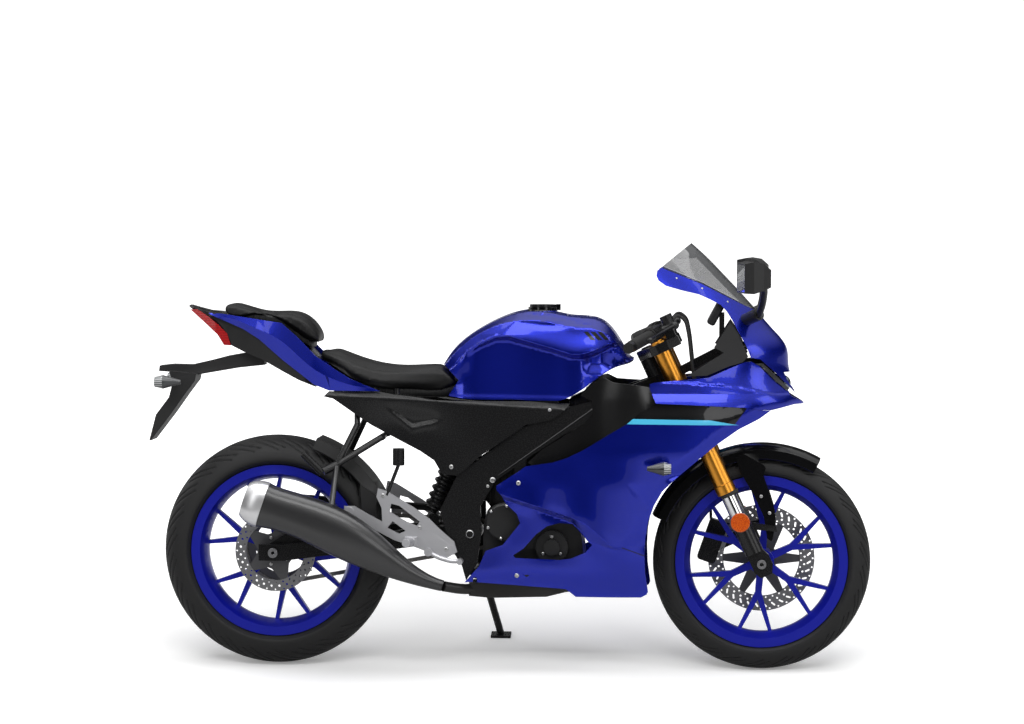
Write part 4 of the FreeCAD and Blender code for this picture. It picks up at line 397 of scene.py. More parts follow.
def make_tyre(node, joint_name, radius, width, rim_width, sweep):
    """A sport tyre: smooth crown with swept grooves, rounded shoulders and two thin sidewall rings."""
    crown = width / 2
    bead = 218
    lip = bead + 16
    half = rim_width / 2
    flank = [(bead + 1, half - 3), (lip + 0.4, half - 1), (lip + 1.2, half + 3.5), (lip + 4, half + 8)]
    crown_angles = [86, 80, 74, *np.linspace(70, 0, 30)]
    round_side = [polar(crown, math.radians(angle), radius - crown, 0) for angle in crown_angles]
    wall = []
    for share in (0.35, 0.5, 0.56, 0.6, 0.64, 0.8):
        point = Vector(flank[-1]).lerp(Vector(round_side[0]), share)
        ring = 0.9 if 0.55 < share < 0.61 else 0
        wall.append((point.x, point.y + math.sin(share * math.pi) * 1.6 + ring))
    one_side = flank + wall + round_side[:-1]
    profile = one_side + [(radius, 0.0)] + [(r, -y) for r, y in reversed(one_side)]
    profile += [(bead, 6 - half), (bead, half - 6)]
    radii, levels = np.array(profile).T
    turn = np.linspace(0, 2 * math.pi, rings_round_tyre, endpoint=False)[:, None]
    tilt = np.degrees(np.arcsin(np.clip(np.abs(levels) / crown, 0, 1)))
    on_tread = radii > radius - crown + crown * math.cos(math.radians(tread_end))
    depth = np.zeros((rings_round_tyre, len(profile)))
    for half_width, soft, power, start, low, high in tread_grooves:
        phase = turn * tread_repeats / (2 * math.pi) + sweep * (tilt / 60) ** power
        phase = phase + start + 0.5 * (levels < 0)
        distance = np.abs((phase + 0.5) % 1 - 0.5) * (2 * math.pi * radius / tread_repeats)
        groove = np.clip((half_width - distance) / soft, 0, 1) * (low < tilt) * (tilt < high) * on_tread
        depth = np.maximum(depth, tread_depth * groove)
    reached = radii - depth * np.cos(np.radians(tilt))
    aside = levels - depth * np.sign(levels) * np.sin(np.radians(tilt))
    points = np.stack([reached * np.cos(turn), aside, reached * np.sin(turn)], axis=-1) / 1000
    across = len(profile)
    faces = []
    for ring in range(rings_round_tyre):
        here, following = ring * across, (ring + 1) % rings_round_tyre * across
        for place in range(across):
            beside = (place + 1) % across
            faces.append((here + place, following + place, following + beside, here + beside))
    mesh = built(node + "_skin", points.reshape(-1, 3).tolist(), faces)
    mesh.transform(wheel_frame(joint_name))
    skinned(node, smooth(faced_out(mesh), 46), tyre_rubber)


make_tyre("front_tyre", "front_wheel_spin", 296, 100, 72, -1.5)
make_tyre("rear_tyre", "rear_wheel_spin", 314, 140, 104, 1.5)


# Brake discs and sprocket
# Drilled rings of ground steel, the front one slotted too, on dark carriers. The sprocket is stamped
# from plate.
ground_steel = grained("ground_steel", (0.27, 0.27, 0.28), 0.24, (700, 3), (0.1, 0.0001), 0.22, metallic=1.0)
dark_steel = grained("dark_steel", (0.1, 0.1, 0.105), 0.42, (500, 3), (0.15, 0.0002), metallic=0.9)


def circle_points(x, y, radius, count):
    return [polar(radius, 2 * math.pi * step / count, x, y) for step in range(count)]


def slot_points(x, y, length, half, angle, count=8):
    """A long hole with round ends, turned by an angle."""
    points = []
    for end in (1, -1):
        for step in range(count + 1):
            turn = angle - end * math.pi / 2 + math.pi * step / count
            points.append(polar(half, turn, *polar(end * length / 2, angle, x, y)))
    return points


def stamped(name, outlines, thickness, joint_name, plane, rounding=0.3):
    """A flat plate, cut to closed outlines and holes, square to a wheel's spindle.

    Its plane lies so many millimetres to the left of the wheel's middle, and its edges are rounded."""
    data = bpy.data.curves.new(name, "CURVE")
    data.dimensions = "2D"
    data.fill_mode = "BOTH"
    data.extrude = (thickness / 2 - rounding) / 1000
    data.bevel_depth = rounding / 1000
    data.bevel_resolution = 1
    data.offset = -rounding / 1000
    for outline in outlines:
        spline = data.splines.new("POLY")
        spline.points.add(len(outline) - 1)
        for point, (x, y) in zip(spline.points, outline):
            point.co = (x / 1000, y / 1000, 0, 1)
        spline.use_cyclic_u = True
    mesh = faced_out(final_mesh(link(name + "_outline", data)), 0.000005)
    side_on = Matrix.Rotation(math.pi / 2, 4, "X")
    mesh.transform(wheel_frame(joint_name) @ Matrix.Translation((0, plane / 1000, 0)) @ side_on)
    return mesh


def disc_outlines(radius, inner, rows):
    """A ring with its rows of round holes and slots."""
    outlines = [circle_points(0, 0, radius, 120), circle_points(0, 0, inner, 90)]
    for ring, count, kind, size, offset in rows:
        for index in range(count):
            turn = 2 * math.pi * (index + offset) / count
            x, y = polar(ring, turn)
            outlines.append(circle_points(x, y, size, 14) if kind == "hole"
                            else slot_points(x, y, 9, size, turn + 0.7))
    return outlines


def carrier_outlines(outer, arms, arm_half, hub, bore):
    """A star-shaped carrier between the hub's bolts and the ring."""
    outline, holes = [], []
    for arm in range(arms):
        turn = 2 * math.pi * arm / arms
        valley = turn + math.pi / arms
        side = arm_half / outer
        outline += [polar(outer, turn - side), polar(outer, turn + side),
                    polar(hub, valley - 0.12), polar(hub, valley + 0.12)]
        holes.append(circle_points(*polar(0.78 * hub, valley), 4, 12))
    return [outline, circle_points(0, 0, bore, 40)] + holes


front_rows = [(141, 36, "hole", 2.6, 0.0), (131, 36, "slot", 2.4, 0.5), (119, 36, "hole", 2.9, 0.2),
              (109.5, 36, "hole", 2.4, 0.7)]
rear_rows = [(105.5, 28, "hole", 2.4, 0.0), (96, 28, "hole", 3.2, 0.5), (86, 28, "hole", 2.4, 0.1)]
disc_thickness, carrier_thickness = 4.5, 5
for end, ring, ring_plane, carrier, carrier_plane in (
        ("front", (146, 104, front_rows), 62, (106, 6, 9, 44, 16), 61),
        ("rear", (110, 80, rear_rows), -74, (82, 5, 9, 50, 20), -73)):
    disc, wheel = end + "_disc", end + "_wheel_spin"
    skinned(disc, stamped(disc, disc_outlines(*ring), disc_thickness, wheel, ring_plane), ground_steel)
    star_mesh = stamped(disc, carrier_outlines(*carrier), carrier_thickness, wheel, carrier_plane)
    fix(link(disc + "_carrier", star_mesh), dark_steel, disc)
dress(dark_steel, rear_sprocket=0.4)


# Fork
# Gold anodised outer tubes, chromed sliding tubes below them and black cast feet that clamp the
# hollow front spindle.
gold = grained("gold_anodised", (0.62, 0.27, 0.035), 0.24, (160, 3), (0.05, 0.0002), 0.12, metallic=1.0)
gold.paint(gold.noise(160, 3), (0.55, 0.22, 0.026), (0.66, 0.3, 0.045))
hard_chrome = grained("hard_chrome", (0.62, 0.62, 0.63), 0.06, (60, 2), swing=0.08, metallic=1.0)
black_paint = grained("black_paint", (0.009, 0.009, 0.0095), 0.2, (380, 3), (0.04, 0.0002), 0.14, ior=1.36)
satin_plastic = grained("satin_plastic", (0.014, 0.014, 0.0145), 0.42, (650, 3), (0.22, 0.00025), 0.18,
                        ior=1.38)
bright_alloy = grained("bright_alloy", (0.5, 0.5, 0.52), 0.32, (300, 4), (0.2, 0.00025), 0.2, metallic=0.9)
soft_rubber = grained("soft_rubber", (0.016, 0.016, 0.016), 0.78, (500, 3), (0.3, 0.0003))
dress(gold, fork_outer_tubes=1.2)
dress(hard_chrome, fork_inner_tubes=0)
dress(black_paint, fork_castings=2, yokes=2.5)
dress(ground_steel, front_axle=0.6)


# Handlebars
# Clip-on bars with ribbed rubber grips, switch housings, and lever perches; the brake cylinder with
# its fluid pot sits on the right perch.
grip_rubber = Finish("grip_rubber", (0.009, 0.009, 0.009), 0.7, ior=1.4)
grip_ahead, grip_aside = grip_rubber.upright()[:2]
grip_ribs = (abs(grip_aside) * 1250).sine() * (grip_ahead * 700).sine()
grip_rubber.bump(grip_ribs.eased(-0.1, 0.4), 0.6, 0.0012)
dress(black_paint, handlebars=1.6, levers=0.6)
dress(grip_rubber, grips=1)


# Front mudguard, caliper and reflectors
# A glossy black mudguard, a painted caliper and amber prism reflectors.
fender_black = grained("fender_black", (0.004, 0.004, 0.0045), 0.16, (500, 2), (0.05, 0.0002), ior=1.42)
amber_lens = Finish("amber_lens", (0.85, 0.13, 0.008), 0.14, coat=1.0)
amber_cells = amber_lens.cells(420)
amber_lens.paint(amber_cells.eased(0.1, 0.7), (0.95, 0.2, 0.01), (0.6, 0.06, 0.004))
amber_lens.bump(amber_cells, 0.4, 0.0006)
dress(fender_black, 28, front_fender=0.8)
dress(black_paint, front_caliper=1.5)
dress(amber_lens, reflectors=1.2)


# Frame and swingarm
# Pressed steel spars and arm in satin black, round the gas spring.
dress(black_paint, main_frame=1.6, subframe=0.8, swingarm=3, rear_shock=0.8)
dress(ground_steel, rear_axle=1)


# Engine
# A small water-cooled single: cast crankcase with round bolted covers, partly hidden by the fairing,
# behind a finned radiator.
engine_grey = grained("engine_grey", (0.012, 0.012, 0.0125), 0.3, (260, 5), (0.35, 0.0004), 0.2, ior=1.4)
fin_black = Finish("fin_black", (0.012, 0.012, 0.0125), 0.42, metallic=0.3)
fin_aside, fin_up = fin_black.upright()[1:]
fin_black.bump((fin_aside * 1800).sine() * (fin_up * 320).sine().eased(-0.6, 0.2), 0.5, 0.001)
dress(engine_grey, engine=3)
dress(fin_black, radiator=1)


# Exhaust
# Steel header, a black chamber below the engine, and a long black silencer with a cast end cap.
pipe_steel = grained("pipe_steel", (0.035, 0.034, 0.033), 0.36, (200, 4), (0.15, 0.0003), metallic=0.7)
silencer_black = grained("silencer_black", (0.018, 0.018, 0.019), 0.28, (300, 3), (0.08, 0.0002), 0.14,
                         coat=0.35, coat_roughness=0.18)
cap_alloy = grained("cap_alloy", (0.66, 0.66, 0.67), 0.34, (300, 4), (0.15, 0.0002), metallic=0.85)
dress(pipe_steel, exhaust_pipe=1)
dress(silencer_black, silencer=1)
dress(cap_alloy, silencer_cap=2)


# Painted bodywork
# Deep royal blue under clear lacquer, on the pressed steel tank and on the moulded panels.
def lacquered(name, marks=None):
    """Blue lacquer with fine flake, and marks laid over it under the clear coat.

    A bright mark is plain colour. A dark one keeps the flake's metal."""
    metal, darkest_bright = 0.75, 0.1
    paint = Finish(name, (0.003, 0.012, 0.34), 0.3, metallic=metal, coat=0.45, coat_roughness=0.02)
    colour = paint.mix(paint.noise(3.5, 2), (0.0022, 0.011, 0.32), (0.003, 0.014, 0.38))
    for mask, tint in (marks(paint) if marks else ()):
        colour = paint.mix(mask, colour, tint)
        if max(tint) > darkest_bright:
            paint.set("Metallic", metal - metal * mask)
    paint.set("Base Color", colour)
    paint.set("Roughness", 0.2 + paint.noise(2600, 1) * 0.1)
    paint.bump(paint.noise(120, 2), 0.02, 0.0002)
    return paint


def between(value, low, high):
    """0 below low, 1 above high and a soft ramp between, on arrays."""
    share = np.clip((value - low) / (high - low), 0, 1)
    return share * share * (3 - 2 * share)


def window(value, start, full, fading, end):
    """Up from 0 between the first two marks, and down to 0 again between the last two."""
    return between(value, start, full) * between(-value, -end, -fading)


def height_of(line, x):
    """The height of a line of points at each x."""
    return np.interp(x, *zip(*line))


def on_machine(shape):
    """Where the shape's points are on the upright machine, as rows of millimetres."""
    to_machine = machine.inverted()
    return np.array([to_machine @ vertex.co for vertex in shape.verts]) * 1000


def half_widths(node, step=None):
    """How far out a panel stands on the machine's flank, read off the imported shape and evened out.

    A step that is pressed in later is taken out first, so that it isn't blurred."""
    cell, rim, passes, flattest = 8, 16, 6, 0.45
    shape = merged(node)
    tree = BVHTree.FromBMesh(shape)
    places = on_machine(shape)
    shape.free()
    x_marks, z_marks = [np.arange(places[:, axis].min() - rim, places[:, axis].max() + rim, cell)
                        for axis in (0, 2)]
    widths = np.zeros((len(x_marks), len(z_marks)))
    for row, x in enumerate(x_marks):
        for column, z in enumerate(z_marks):
            hit, way = tree.ray_cast(spot(x, -500, z), to_left, 0.5)[:2]
            if hit and abs(way.dot(to_left)) > flattest:
                widths[row, column] = -(hit - middle).dot(to_left) * 1000
    known = widths > 0
    if step:
        widths = widths - step(*np.meshgrid(x_marks, z_marks, indexing="ij")) * known
    rows, columns = widths.shape
    while not known.all():
        padded, weight = np.pad(widths * known, 1), np.pad(known.astype(float), 1)
        total, number = [sum(grid[i:i + rows, j:j + columns] for i in range(3) for j in range(3))
                         for grid in (padded, weight)]
        fresh = ~known & (number > 0)
        widths[fresh] = total[fresh] / number[fresh]
        known = known | fresh
    for _ in range(passes):
        padded = np.pad(widths, 1, mode="edge")
        beside = padded[:-2, 1:-1] + padded[2:, 1:-1] + padded[1:-1, :-2] + padded[1:-1, 2:]
        widths = (beside + 2 * widths) / 6

    def width(x, z):
        across = np.clip((x - x_marks[0]) / cell, 0, rows - 1.001)
        up = np.clip((z - z_marks[0]) / cell, 0, columns - 1.001)
        i, j = across.astype(int), up.astype(int)
        u, v = across - i, up - j
        return ((1 - u) * (1 - v) * widths[i, j] + u * (1 - v) * widths[i + 1, j]
                + (1 - u) * v * widths[i, j + 1] + u * v * widths[i + 1, j + 1])

    return width


def pressed(node, finish, cell, relief, evened, lines=(), angle=22, wall=0, blend=None):
    """A panel cut into small cells, evened between its facets, with relief pressed into its flanks.

    The relief gives how many millimetres outwards each place on the upright machine moves."""
    shape = merged(node, 0.2)
    places = on_machine(shape)
    planes = []
    for axis, way in ((0, to_front), (2, to_sky)):
        low, high = places[:, axis].min(), places[:, axis].max()
        planes += [(middle + way * mark / 1000, way) for mark in np.arange(low + cell / 2, high, cell)]
    for line in lines:
        for (x, z), (next_x, next_z) in zip(line, line[1:]):
            run = to_front * (next_x - x) + to_sky * (next_z - z)
            planes.append((spot(x, 0, z), run.cross(to_left).normalized()))
    for place, way in planes:
        bmesh.ops.bisect_plane(shape, geom=shape.verts[:] + shape.edges[:] + shape.faces[:], dist=0.00002,
                               plane_co=place, plane_no=way)
    bmesh.ops.remove_doubles(shape, verts=shape.verts, dist=0.00005)
    shape.verts.index_update()
    shape.normal_update()
    x, y, z = on_machine(shape).T
    side, y = np.sign(y), np.abs(y)
    outside, inside = np.zeros(len(x), bool), np.zeros(len(x), bool)
    smallest_face, edge_on = 1e-7, 0.25
    for face in shape.faces:
        if face.calc_area() < smallest_face:
            continue
        side_of_face = 1 if (face.verts[0].co - middle).dot(to_left) > 0 else -1
        facing_out = face.normal.dot(to_left) * side_of_face
        for vertex in face.verts:
            outside[vertex.index] |= facing_out > edge_on
            inside[vertex.index] |= facing_out < -edge_on
    target = evened(x, z)
    share = blend(x, z) if blend else 1
    evened_y = np.where(outside, target, np.where(inside & (wall > 0), target - wall, y))
    y = y * (1 - share) + evened_y * share
    y = (y + relief(x, y, z)) * side
    place = np.array(middle) + (np.outer(x, to_front) + np.outer(y, to_left) + np.outer(z, to_sky)) / 1000
    skinned(node, smooth(moved(poured(shape, node + "_skin"), place), angle), finish)


# Fuel tank
# A pressed steel tank. A crease runs along each side below a flat upper facet, the knee rests are
# hollow, the edge by the seat is rolled, and a scoop at the front makes room for the bars.
tank_crease = [(-203, 800), (-172, 822), (-140, 862), (-104, 888), (-60, 908), (-24, 910), (32, 895),
               (95, 878), (147, 862), (171, 862), (200, 868), (247, 889), (300, 900)]
tank_shoulder = [(-203, 795), (-163, 845), (-147, 866), (-103, 894), (-56, 924), (-8, 946), (95, 943),
                 (199, 936), (240, 912), (270, 878), (300, 850)]
tank_widths = half_widths("fuel_tank")


def tank_share(x, z):
    """Where the tank's flank is evened, and where its top stays as it is."""
    return between(height_of(tank_shoulder, x) - z, -4, 14) * window(x, -215, -190, 250, 290)


def tank_relief(x, y, z):
    below = height_of(tank_crease, x) - z
    flank = tank_widths(x, np.full_like(z, 800)) - 3 - tank_widths(x, z)
    flank = flank * between(below, 0, 17) * window(x, -150, -110, 222, 262)
    foot = 2 * between(below, 15, 20) * between(-z, -750, -738)
    rolled_edge = np.interp(z, [738, 775, 800, 850, 880], [-140, -134, -146, -160, -163])
    rolled = -0.004 * np.clip(rolled_edge - x, 0, 50) ** 2
    facet_end = np.interp(z, [905, 911, 949], [-44, -44, -8])
    turned = -0.13 * np.clip(facet_end - x, 0, 60) * between(-below, 0, 3)
    scoop = -13 * window(x, 172, 200, 260, 292) * between(below, 0, 16) * between(z, 800, 838)
    rim_foot = height_of([(-8, 949), (95, 944), (199, 938)], x)
    rim = 2.5 * between(z, rim_foot, rim_foot + 3) * window(x, -20, 0, 193, 205)
    slot_line = height_of([(-8, 968), (95, 960), (190, 941)], x)
    slot = -3.5 * (np.abs(z - slot_line) < 3.6) * window(x, 0, 20, 160, 190)
    return (flank + foot + rolled + turned + scoop + rim + slot) * between(y, 30, 70)


def tank_marks(paint):
    """Dark louvres behind the bars, and the black neck below the lid."""
    x, _, z = paint.upright()
    slant = x - (0.91 - z) * 0.9
    louvres_start, louvres_end, louvre_pitch = 0.183, 0.238, 0.0185
    comb = ((slant - louvres_start) / louvre_pitch).fraction()
    louvres = (slant > louvres_start) * (slant < louvres_end) * (z > 0.899) * (z < 0.9215) * (comb > 0.34)
    neck = (z > 0.9735) * (abs(x - 0.072) < 0.05)
    return [(louvres, (0.002, 0.002, 0.003)), (neck, (0.004, 0.004, 0.005))]


pressed("fuel_tank", lacquered("tank_blue", tank_marks), 5, tank_relief, tank_widths,
        [tank_crease[1:], tank_shoulder[4:8]], angle=50, blend=tank_share)
dress(black_paint, fuel_lid=1.2)


# Side fairings
# Moulded panels in the body colour. A ledge runs down over the vent, the front edge turns in towards
# the wheel arch past a crease, and a cyan stripe lies below a black band.
ledge_top = [(-152, 512), (-40, 484), (60, 453), (155, 423), (205, 396), (255, 348), (300, 340)]
ledge_foot = [(-152, 498), (-40, 470), (60, 439), (155, 406), (205, 358), (255, 340), (300, 332)]
ledge_depth = [(-152, 10), (-40, 12), (60, 16), (155, 19), (205, 17), (255, 7), (300, 0)]
arch_edge = [(683, 711), (652, 689), (598, 662), (539, 621), (500, 589), (422, 523), (394, 495)]
screw_boss = (18, 248)


def line_distance(line, x, z):
    """How far a place is from a line of points."""
    nearest = np.full(x.shape, 1e9)
    for (ax, az), (bx, bz) in zip(line, line[1:]):
        length = (bx - ax) ** 2 + (bz - az) ** 2
        share = np.clip(((x - ax) * (bx - ax) + (z - az) * (bz - az)) / length, 0, 1)
        nearest = np.minimum(nearest, np.hypot(x - ax - share * (bx - ax), z - az - share * (bz - az)))
    return nearest


def fairing_ledge(x, z):
    top, foot = height_of(ledge_top, x), height_of(ledge_foot, x)
    return -height_of(ledge_depth, x) * np.clip((top - z) / (top - foot), 0, 1)


def fairing_relief(x, y, z):
    crease_x = np.interp(z, [310, 345, 383, 435, 480, 516], [262, 278, 308, 325, 318, 300])
    turned = -np.minimum(0.14 * np.clip(x - crease_x, 0, 90), 0.075 * np.clip(516 - z, 0, 200))
    turned = turned * between(z, 300, 372) * between(-x, -560, -440)
    folded = -0.42 * np.clip(27 - line_distance(arch_edge, x, z), 0, 27)
    folded = folded * between(x, 385, 430) * between(z, 515, 545)
    boss = 2.5 * np.exp(-((x - screw_boss[0]) ** 2 + (z - screw_boss[1]) ** 2) / 200)
    return fairing_ledge(x, z) + turned + folded + boss


def fairing_marks(paint):
    """The cyan stripe with the black band above it, and the seam at the front edge."""
    x, _, z = paint.upright()
    stripe_foot = 0.677 - (x - 0.305) * 0.0102
    stripe_top = (0.691 - (x - 0.325) * 0.0152).least(0.688 - (x - 0.522) * 0.184)
    band = (z > stripe_top) * (0.585 + (z - 0.673) * 0.76 > x)
    stripe = (z > stripe_foot) * (z < stripe_top)
    seam = (abs(z - 0.343 + (x - 0.287) * 0.386) < 0.0013) * (x > 0.287)
    return [(band, (0.004, 0.004, 0.005)), (stripe, (0.09, 0.62, 0.95)), (seam, (0.001, 0.001, 0.004))]


pressed("side_fairings", lacquered("fairing_blue", fairing_marks), 7, fairing_relief,
        half_widths("side_fairings", fairing_ledge), [ledge_top, ledge_foot], angle=40, wall=3)


# Cowls
# The nose is moulded in two panels, with a lower cowl whose foot flares out over the side fairings.
# Black panels line them, and a smoked screen stands above.
cowl_foot = 758


def cowl_relief(x, y, z):
    flare = 0.24 * np.clip(cowl_foot - z, 0, 40) * between(x, 300, 380)
    shelf_line = height_of([(372, 787), (480, 784), (600, 772), (700, 752)], x)
    shelf = -4 * between(z, shelf_line, shelf_line + 5) * between(x, 375, 430)
    return (flare + shelf) * between(-x, -760, -720)


royal_blue = lacquered("royal_blue")
pressed("mid_cowl", royal_blue, 7, cowl_relief, half_widths("mid_cowl"),
        [[(340, cowl_foot), (760, cowl_foot)]], wall=3, blend=lambda x, z: between(-x, -640, -580))
dress(royal_blue, 24, tail_panels=0.8, upper_cowl=0.8)
gloss_black = grained("gloss_black", (0.008, 0.008, 0.0085), 0.18, (90, 2), (0.03, 0.0002), ior=1.45)
dress(gloss_black, 24, inner_panels=1.2)
dress(soft_rubber, hoses=0)
smoke_screen = Finish("smoke_screen", (0.03, 0.032, 0.036), 0.05, coat=1.0, coat_roughness=0.02)
screen_ahead, _, screen_up = smoke_screen.upright()
screen_depth = (screen_ahead - 0.466) * -0.711 + (screen_up - 1.16) * -0.703
screen_tip = (screen_ahead < 0.478) * (screen_up > 1.12)
# The screen is painted denser in a band along its front and top edge, painted shade for the darker look where the
# curved screen is seen edge-on. Its top rear tip is almost opaque.
smoke_screen.set("Alpha", (0.36 + 0.34 * (screen_depth < 0.018)).most(screen_tip * 0.97))
dress(smoke_screen, windscreen=0)


# Seats
# Moulded foam under black grained cover material.
seat_cover = Finish("seat_cover", (0.005, 0.005, 0.0052), 0.5, ior=1.3)
seat_cover.set("Roughness", 0.38 + seat_cover.noise(30, 3) * 0.14)
seat_cover.bump(seat_cover.cells(700).eased(0.0, 0.5), 0.35, 0.00025)
# The cover starts this far inside the solid, and swells no further than the cap. All are in metres.
seat_shrink, seat_cap, seat_cell = 0.0015, 0.005, 0.005
seat_frames = 20
cloth_settings = {"quality": 5, "mass": 0.3, "tension_stiffness": 20, "compression_stiffness": 20,
                  "bending_stiffness": 1.5, "use_pressure": True, "uniform_pressure_force": 4}


def upholstered(node):
    """A seat as a filled cover: remeshed, blown up by cloth pressure inside a cap on its movement."""
    form = link(node + "_form", poured(merged(node), node + "_form"))
    modified(form, "REMESH", mode="VOXEL", voxel_size=seat_cell)
    mesh = final_mesh(form)
    pad = link(node + "_pad", mesh)
    normals = np.array([vertex.normal for vertex in mesh.vertices])
    start = np.array([vertex.co for vertex in mesh.vertices]) - normals * seat_shrink
    moved(mesh, start)
    cloth = modified(pad, "CLOTH")
    for key, value in cloth_settings.items():
        setattr(cloth.settings, key, value)
    cloth.settings.effector_weights.gravity = 0
    cloth.point_cache.frame_start = 1
    cloth.point_cache.frame_end = seat_frames
    for moment in range(1, seat_frames + 1):
        bpy.context.scene.frame_set(moment)
    swollen = pad.evaluated_get(bpy.context.evaluated_depsgraph_get()).to_mesh()
    end = np.zeros(start.size)
    swollen.vertices.foreach_get("co", end)
    pad.modifiers.remove(cloth)
    bpy.context.scene.frame_set(1)
    move = end.reshape(-1, 3) - start
    length = np.linalg.norm(move, axis=1, keepdims=True)
    start = start + move * np.minimum(1, seat_cap / np.maximum(length, 1e-9))
    moved(mesh, start)
    modified(pad, "SMOOTH", factor=0.5, iterations=2)
    modified(pad, "SUBSURF", levels=1, render_levels=1)
    mesh.polygons.foreach_set("use_smooth", [True] * len(mesh.polygons))
    fix(pad, seat_cover, node, stands_in=True)
    return pad


pads = {node: upholstered(node) for node in ("rider_seat", "pillion_seat")}


# Stitches
# A row of black thread runs along each edge of both seats, one stitch every few millimetres.
def repeater():
    """A node tree that sets a copy of one small piece on every point, turned to its own directions."""
    tree = bpy.data.node_groups.new("row_of_pieces", "GeometryNodeTree")
    names = {}
    for label, kind, way in (("Places", "Geometry", "INPUT"), ("Piece", "Object", "INPUT"),
                             ("Size", "Float", "INPUT"), ("Finish", "Material", "INPUT"),
                             ("Row", "Geometry", "OUTPUT")):
        socket = tree.interface.new_socket(label, in_out=way, socket_type="NodeSocket" + kind)
        names[label] = socket.identifier
    entry = tree.nodes.new("NodeGroupInput")
    places, piece, size, finish = [Signal(tree, socket) for socket in entry.outputs[:4]]
    way, heading, girth = [add_node(tree, "GeometryNodeInputNamedAttribute", {"Name": label}, "Attribute",
                                    data_type=kind) for label, kind in row_fields.items()]
    pattern = add_node(tree, "GeometryNodeObjectInfo", {"Object": piece}, "Geometry")
    stand = add_node(tree, "FunctionNodeAlignRotationToVector", {"Vector": way}, "Rotation", axis="Z")
    turn = add_node(tree, "FunctionNodeAlignRotationToVector", {"Rotation": stand, "Vector": heading},
                    "Rotation", axis="X", pivot_axis="Z")
    copies = add_node(tree, "GeometryNodeInstanceOnPoints",
                      {"Points": places, "Instance": pattern, "Rotation": turn, "Scale": girth * size})
    real = add_node(tree, "GeometryNodeRealizeInstances", {0: copies})
    painted = add_node(tree, "GeometryNodeSetMaterial", {"Geometry": real, "Material": finish})
    feed(tree, tree.nodes.new("NodeGroupOutput").inputs[0], painted)
    return tree, names


row_fields = {"way": "FLOAT_VECTOR", "heading": "FLOAT_VECTOR", "girth": "FLOAT"}
row_tree, row_inputs = repeater()


def repeat(name, template, rows, finish, node, **fixing):
    """One mesh of like pieces, drawn in millimetres.

    A row is a place, the way out, a heading and a girth."""
    places, *fields = zip(*rows)
    mesh = built(name + "_places", places, [])
    for (label, kind), values in zip(row_fields.items(), fields):
        content = "value" if kind == "FLOAT" else "vector"
        mesh.attributes.new(label, kind, "POINT").data.foreach_set(content, np.array(values, float).ravel())
    holder = link(name + "_places", mesh)
    pattern = link(name + "_pattern", template)
    maker = modified(holder, "NODES", node_group=row_tree)
    maker[row_inputs["Piece"]] = pattern
    maker[row_inputs["Size"]] = 0.001
    maker[row_inputs["Finish"]] = finish.material
    result = smooth(final_mesh(holder), 35)
    bpy.data.objects.remove(pattern)
    return fix(link(name, result), finish, node, **fixing)


def rings_mesh(name, *skins):
    """A mesh of closed skins, each over rings of points, with a cap at both ends."""
    points, faces = [], []
    for rings in skins:
        size, first = len(rings[0]), len(points)
        points += [point for ring in rings for point in ring]
        last = len(points) - size
        faces += [tuple(range(first, first + size))[::-1], tuple(range(last, last + size))]
        for low in range(first, last, size):
            for place in range(size):
                beside = (place + 1) % size
                faces.append((low + place, low + beside, low + size + beside, low + size + place))
    return faced_out(built(name, points, faces), 1e-7)


def ring_round(place, first, second, radius, count):
    """Points round a place, in the plane of two directions, at a radius in millimetres."""
    return [place + (first * x + second * y) / 1000 for x, y in circle_points(0, 0, radius, count)]


def skin_of(piece):
    return BVHTree.FromObject(piece, bpy.context.evaluated_depsgraph_get())


stitch_sections = ((-2.1, 0.12, -0.25), (-1.7, 0.42, 0.1), (0, 0.5, 0.3), (1.7, 0.42, 0.1),
                   (2.1, 0.12, -0.25))
stitch_pitch = 5.4


def stitch_mesh():
    """One stitch along X, from sections of a place, a girth and a rise."""
    return rings_mesh("stitch", [[(along, *polar(girth, math.pi * step / 3, 0, rise)) for step in range(6)]
                                 for along, girth, rise in stitch_sections])


thread = grained("seat_thread", (0.03, 0.03, 0.032), 0.7, (2500, 1), (0.3, 0.0001))
seams = {"rider_seat": [(-520, 62), (-490, 78), (-455, 92), (-400, 96), (-350, 92), (-300, 82), (-250, 68),
                        (-212, 58)],
         "pillion_seat": [(-790, 40), (-740, 54), (-690, 62), (-644, 68), (-600, 72), (-575, 64)]}
for node, line in seams.items():
    tree = skin_of(pads[node])
    rows = []
    for side in (-1, 1):
        for x in np.arange(line[0][0], line[-1][0], stitch_pitch):
            here, ahead = [tree.ray_cast(spot(place, side * height_of(line, place), 1300), -to_sky, 1.0)
                           for place in (x, x + 3)]
            if here[0] and ahead[0]:
                rows.append((here[0] + here[1] * 0.0001, here[1], (ahead[0] - here[0]).normalized(), 1.0))
    repeat(node + "_stitches", stitch_mesh(), rows, thread, node)


# Side covers
# Moulded black covers between seat and frame, with a bevel along the top and a folded pocket.
pocket_foot = [(-364, 718), (-285, 658), (-207, 676)]
pocket_top = [(-364, 724), (-207, 704)]
cover_shoulder = [(-540, 744), (-300, 734), (150, 708)]


def cover_relief(x, y, z):
    inside = window(x, -366, -335, -231, -205)
    above = z - height_of(pocket_foot, x)
    pocket = -7 * between(above, -1, 11) * between(height_of(pocket_top, x) - z, 0, 34) * inside
    lip = 1.6 * np.exp(-((above + 7) / 5) ** 2) * inside
    bevel = -0.55 * np.clip(z - height_of(cover_shoulder, x), 0, 30)
    return pocket + lip + bevel


pressed("side_covers", black_paint, 7, cover_relief, half_widths("side_covers"), [pocket_foot], angle=50,
        wall=3)


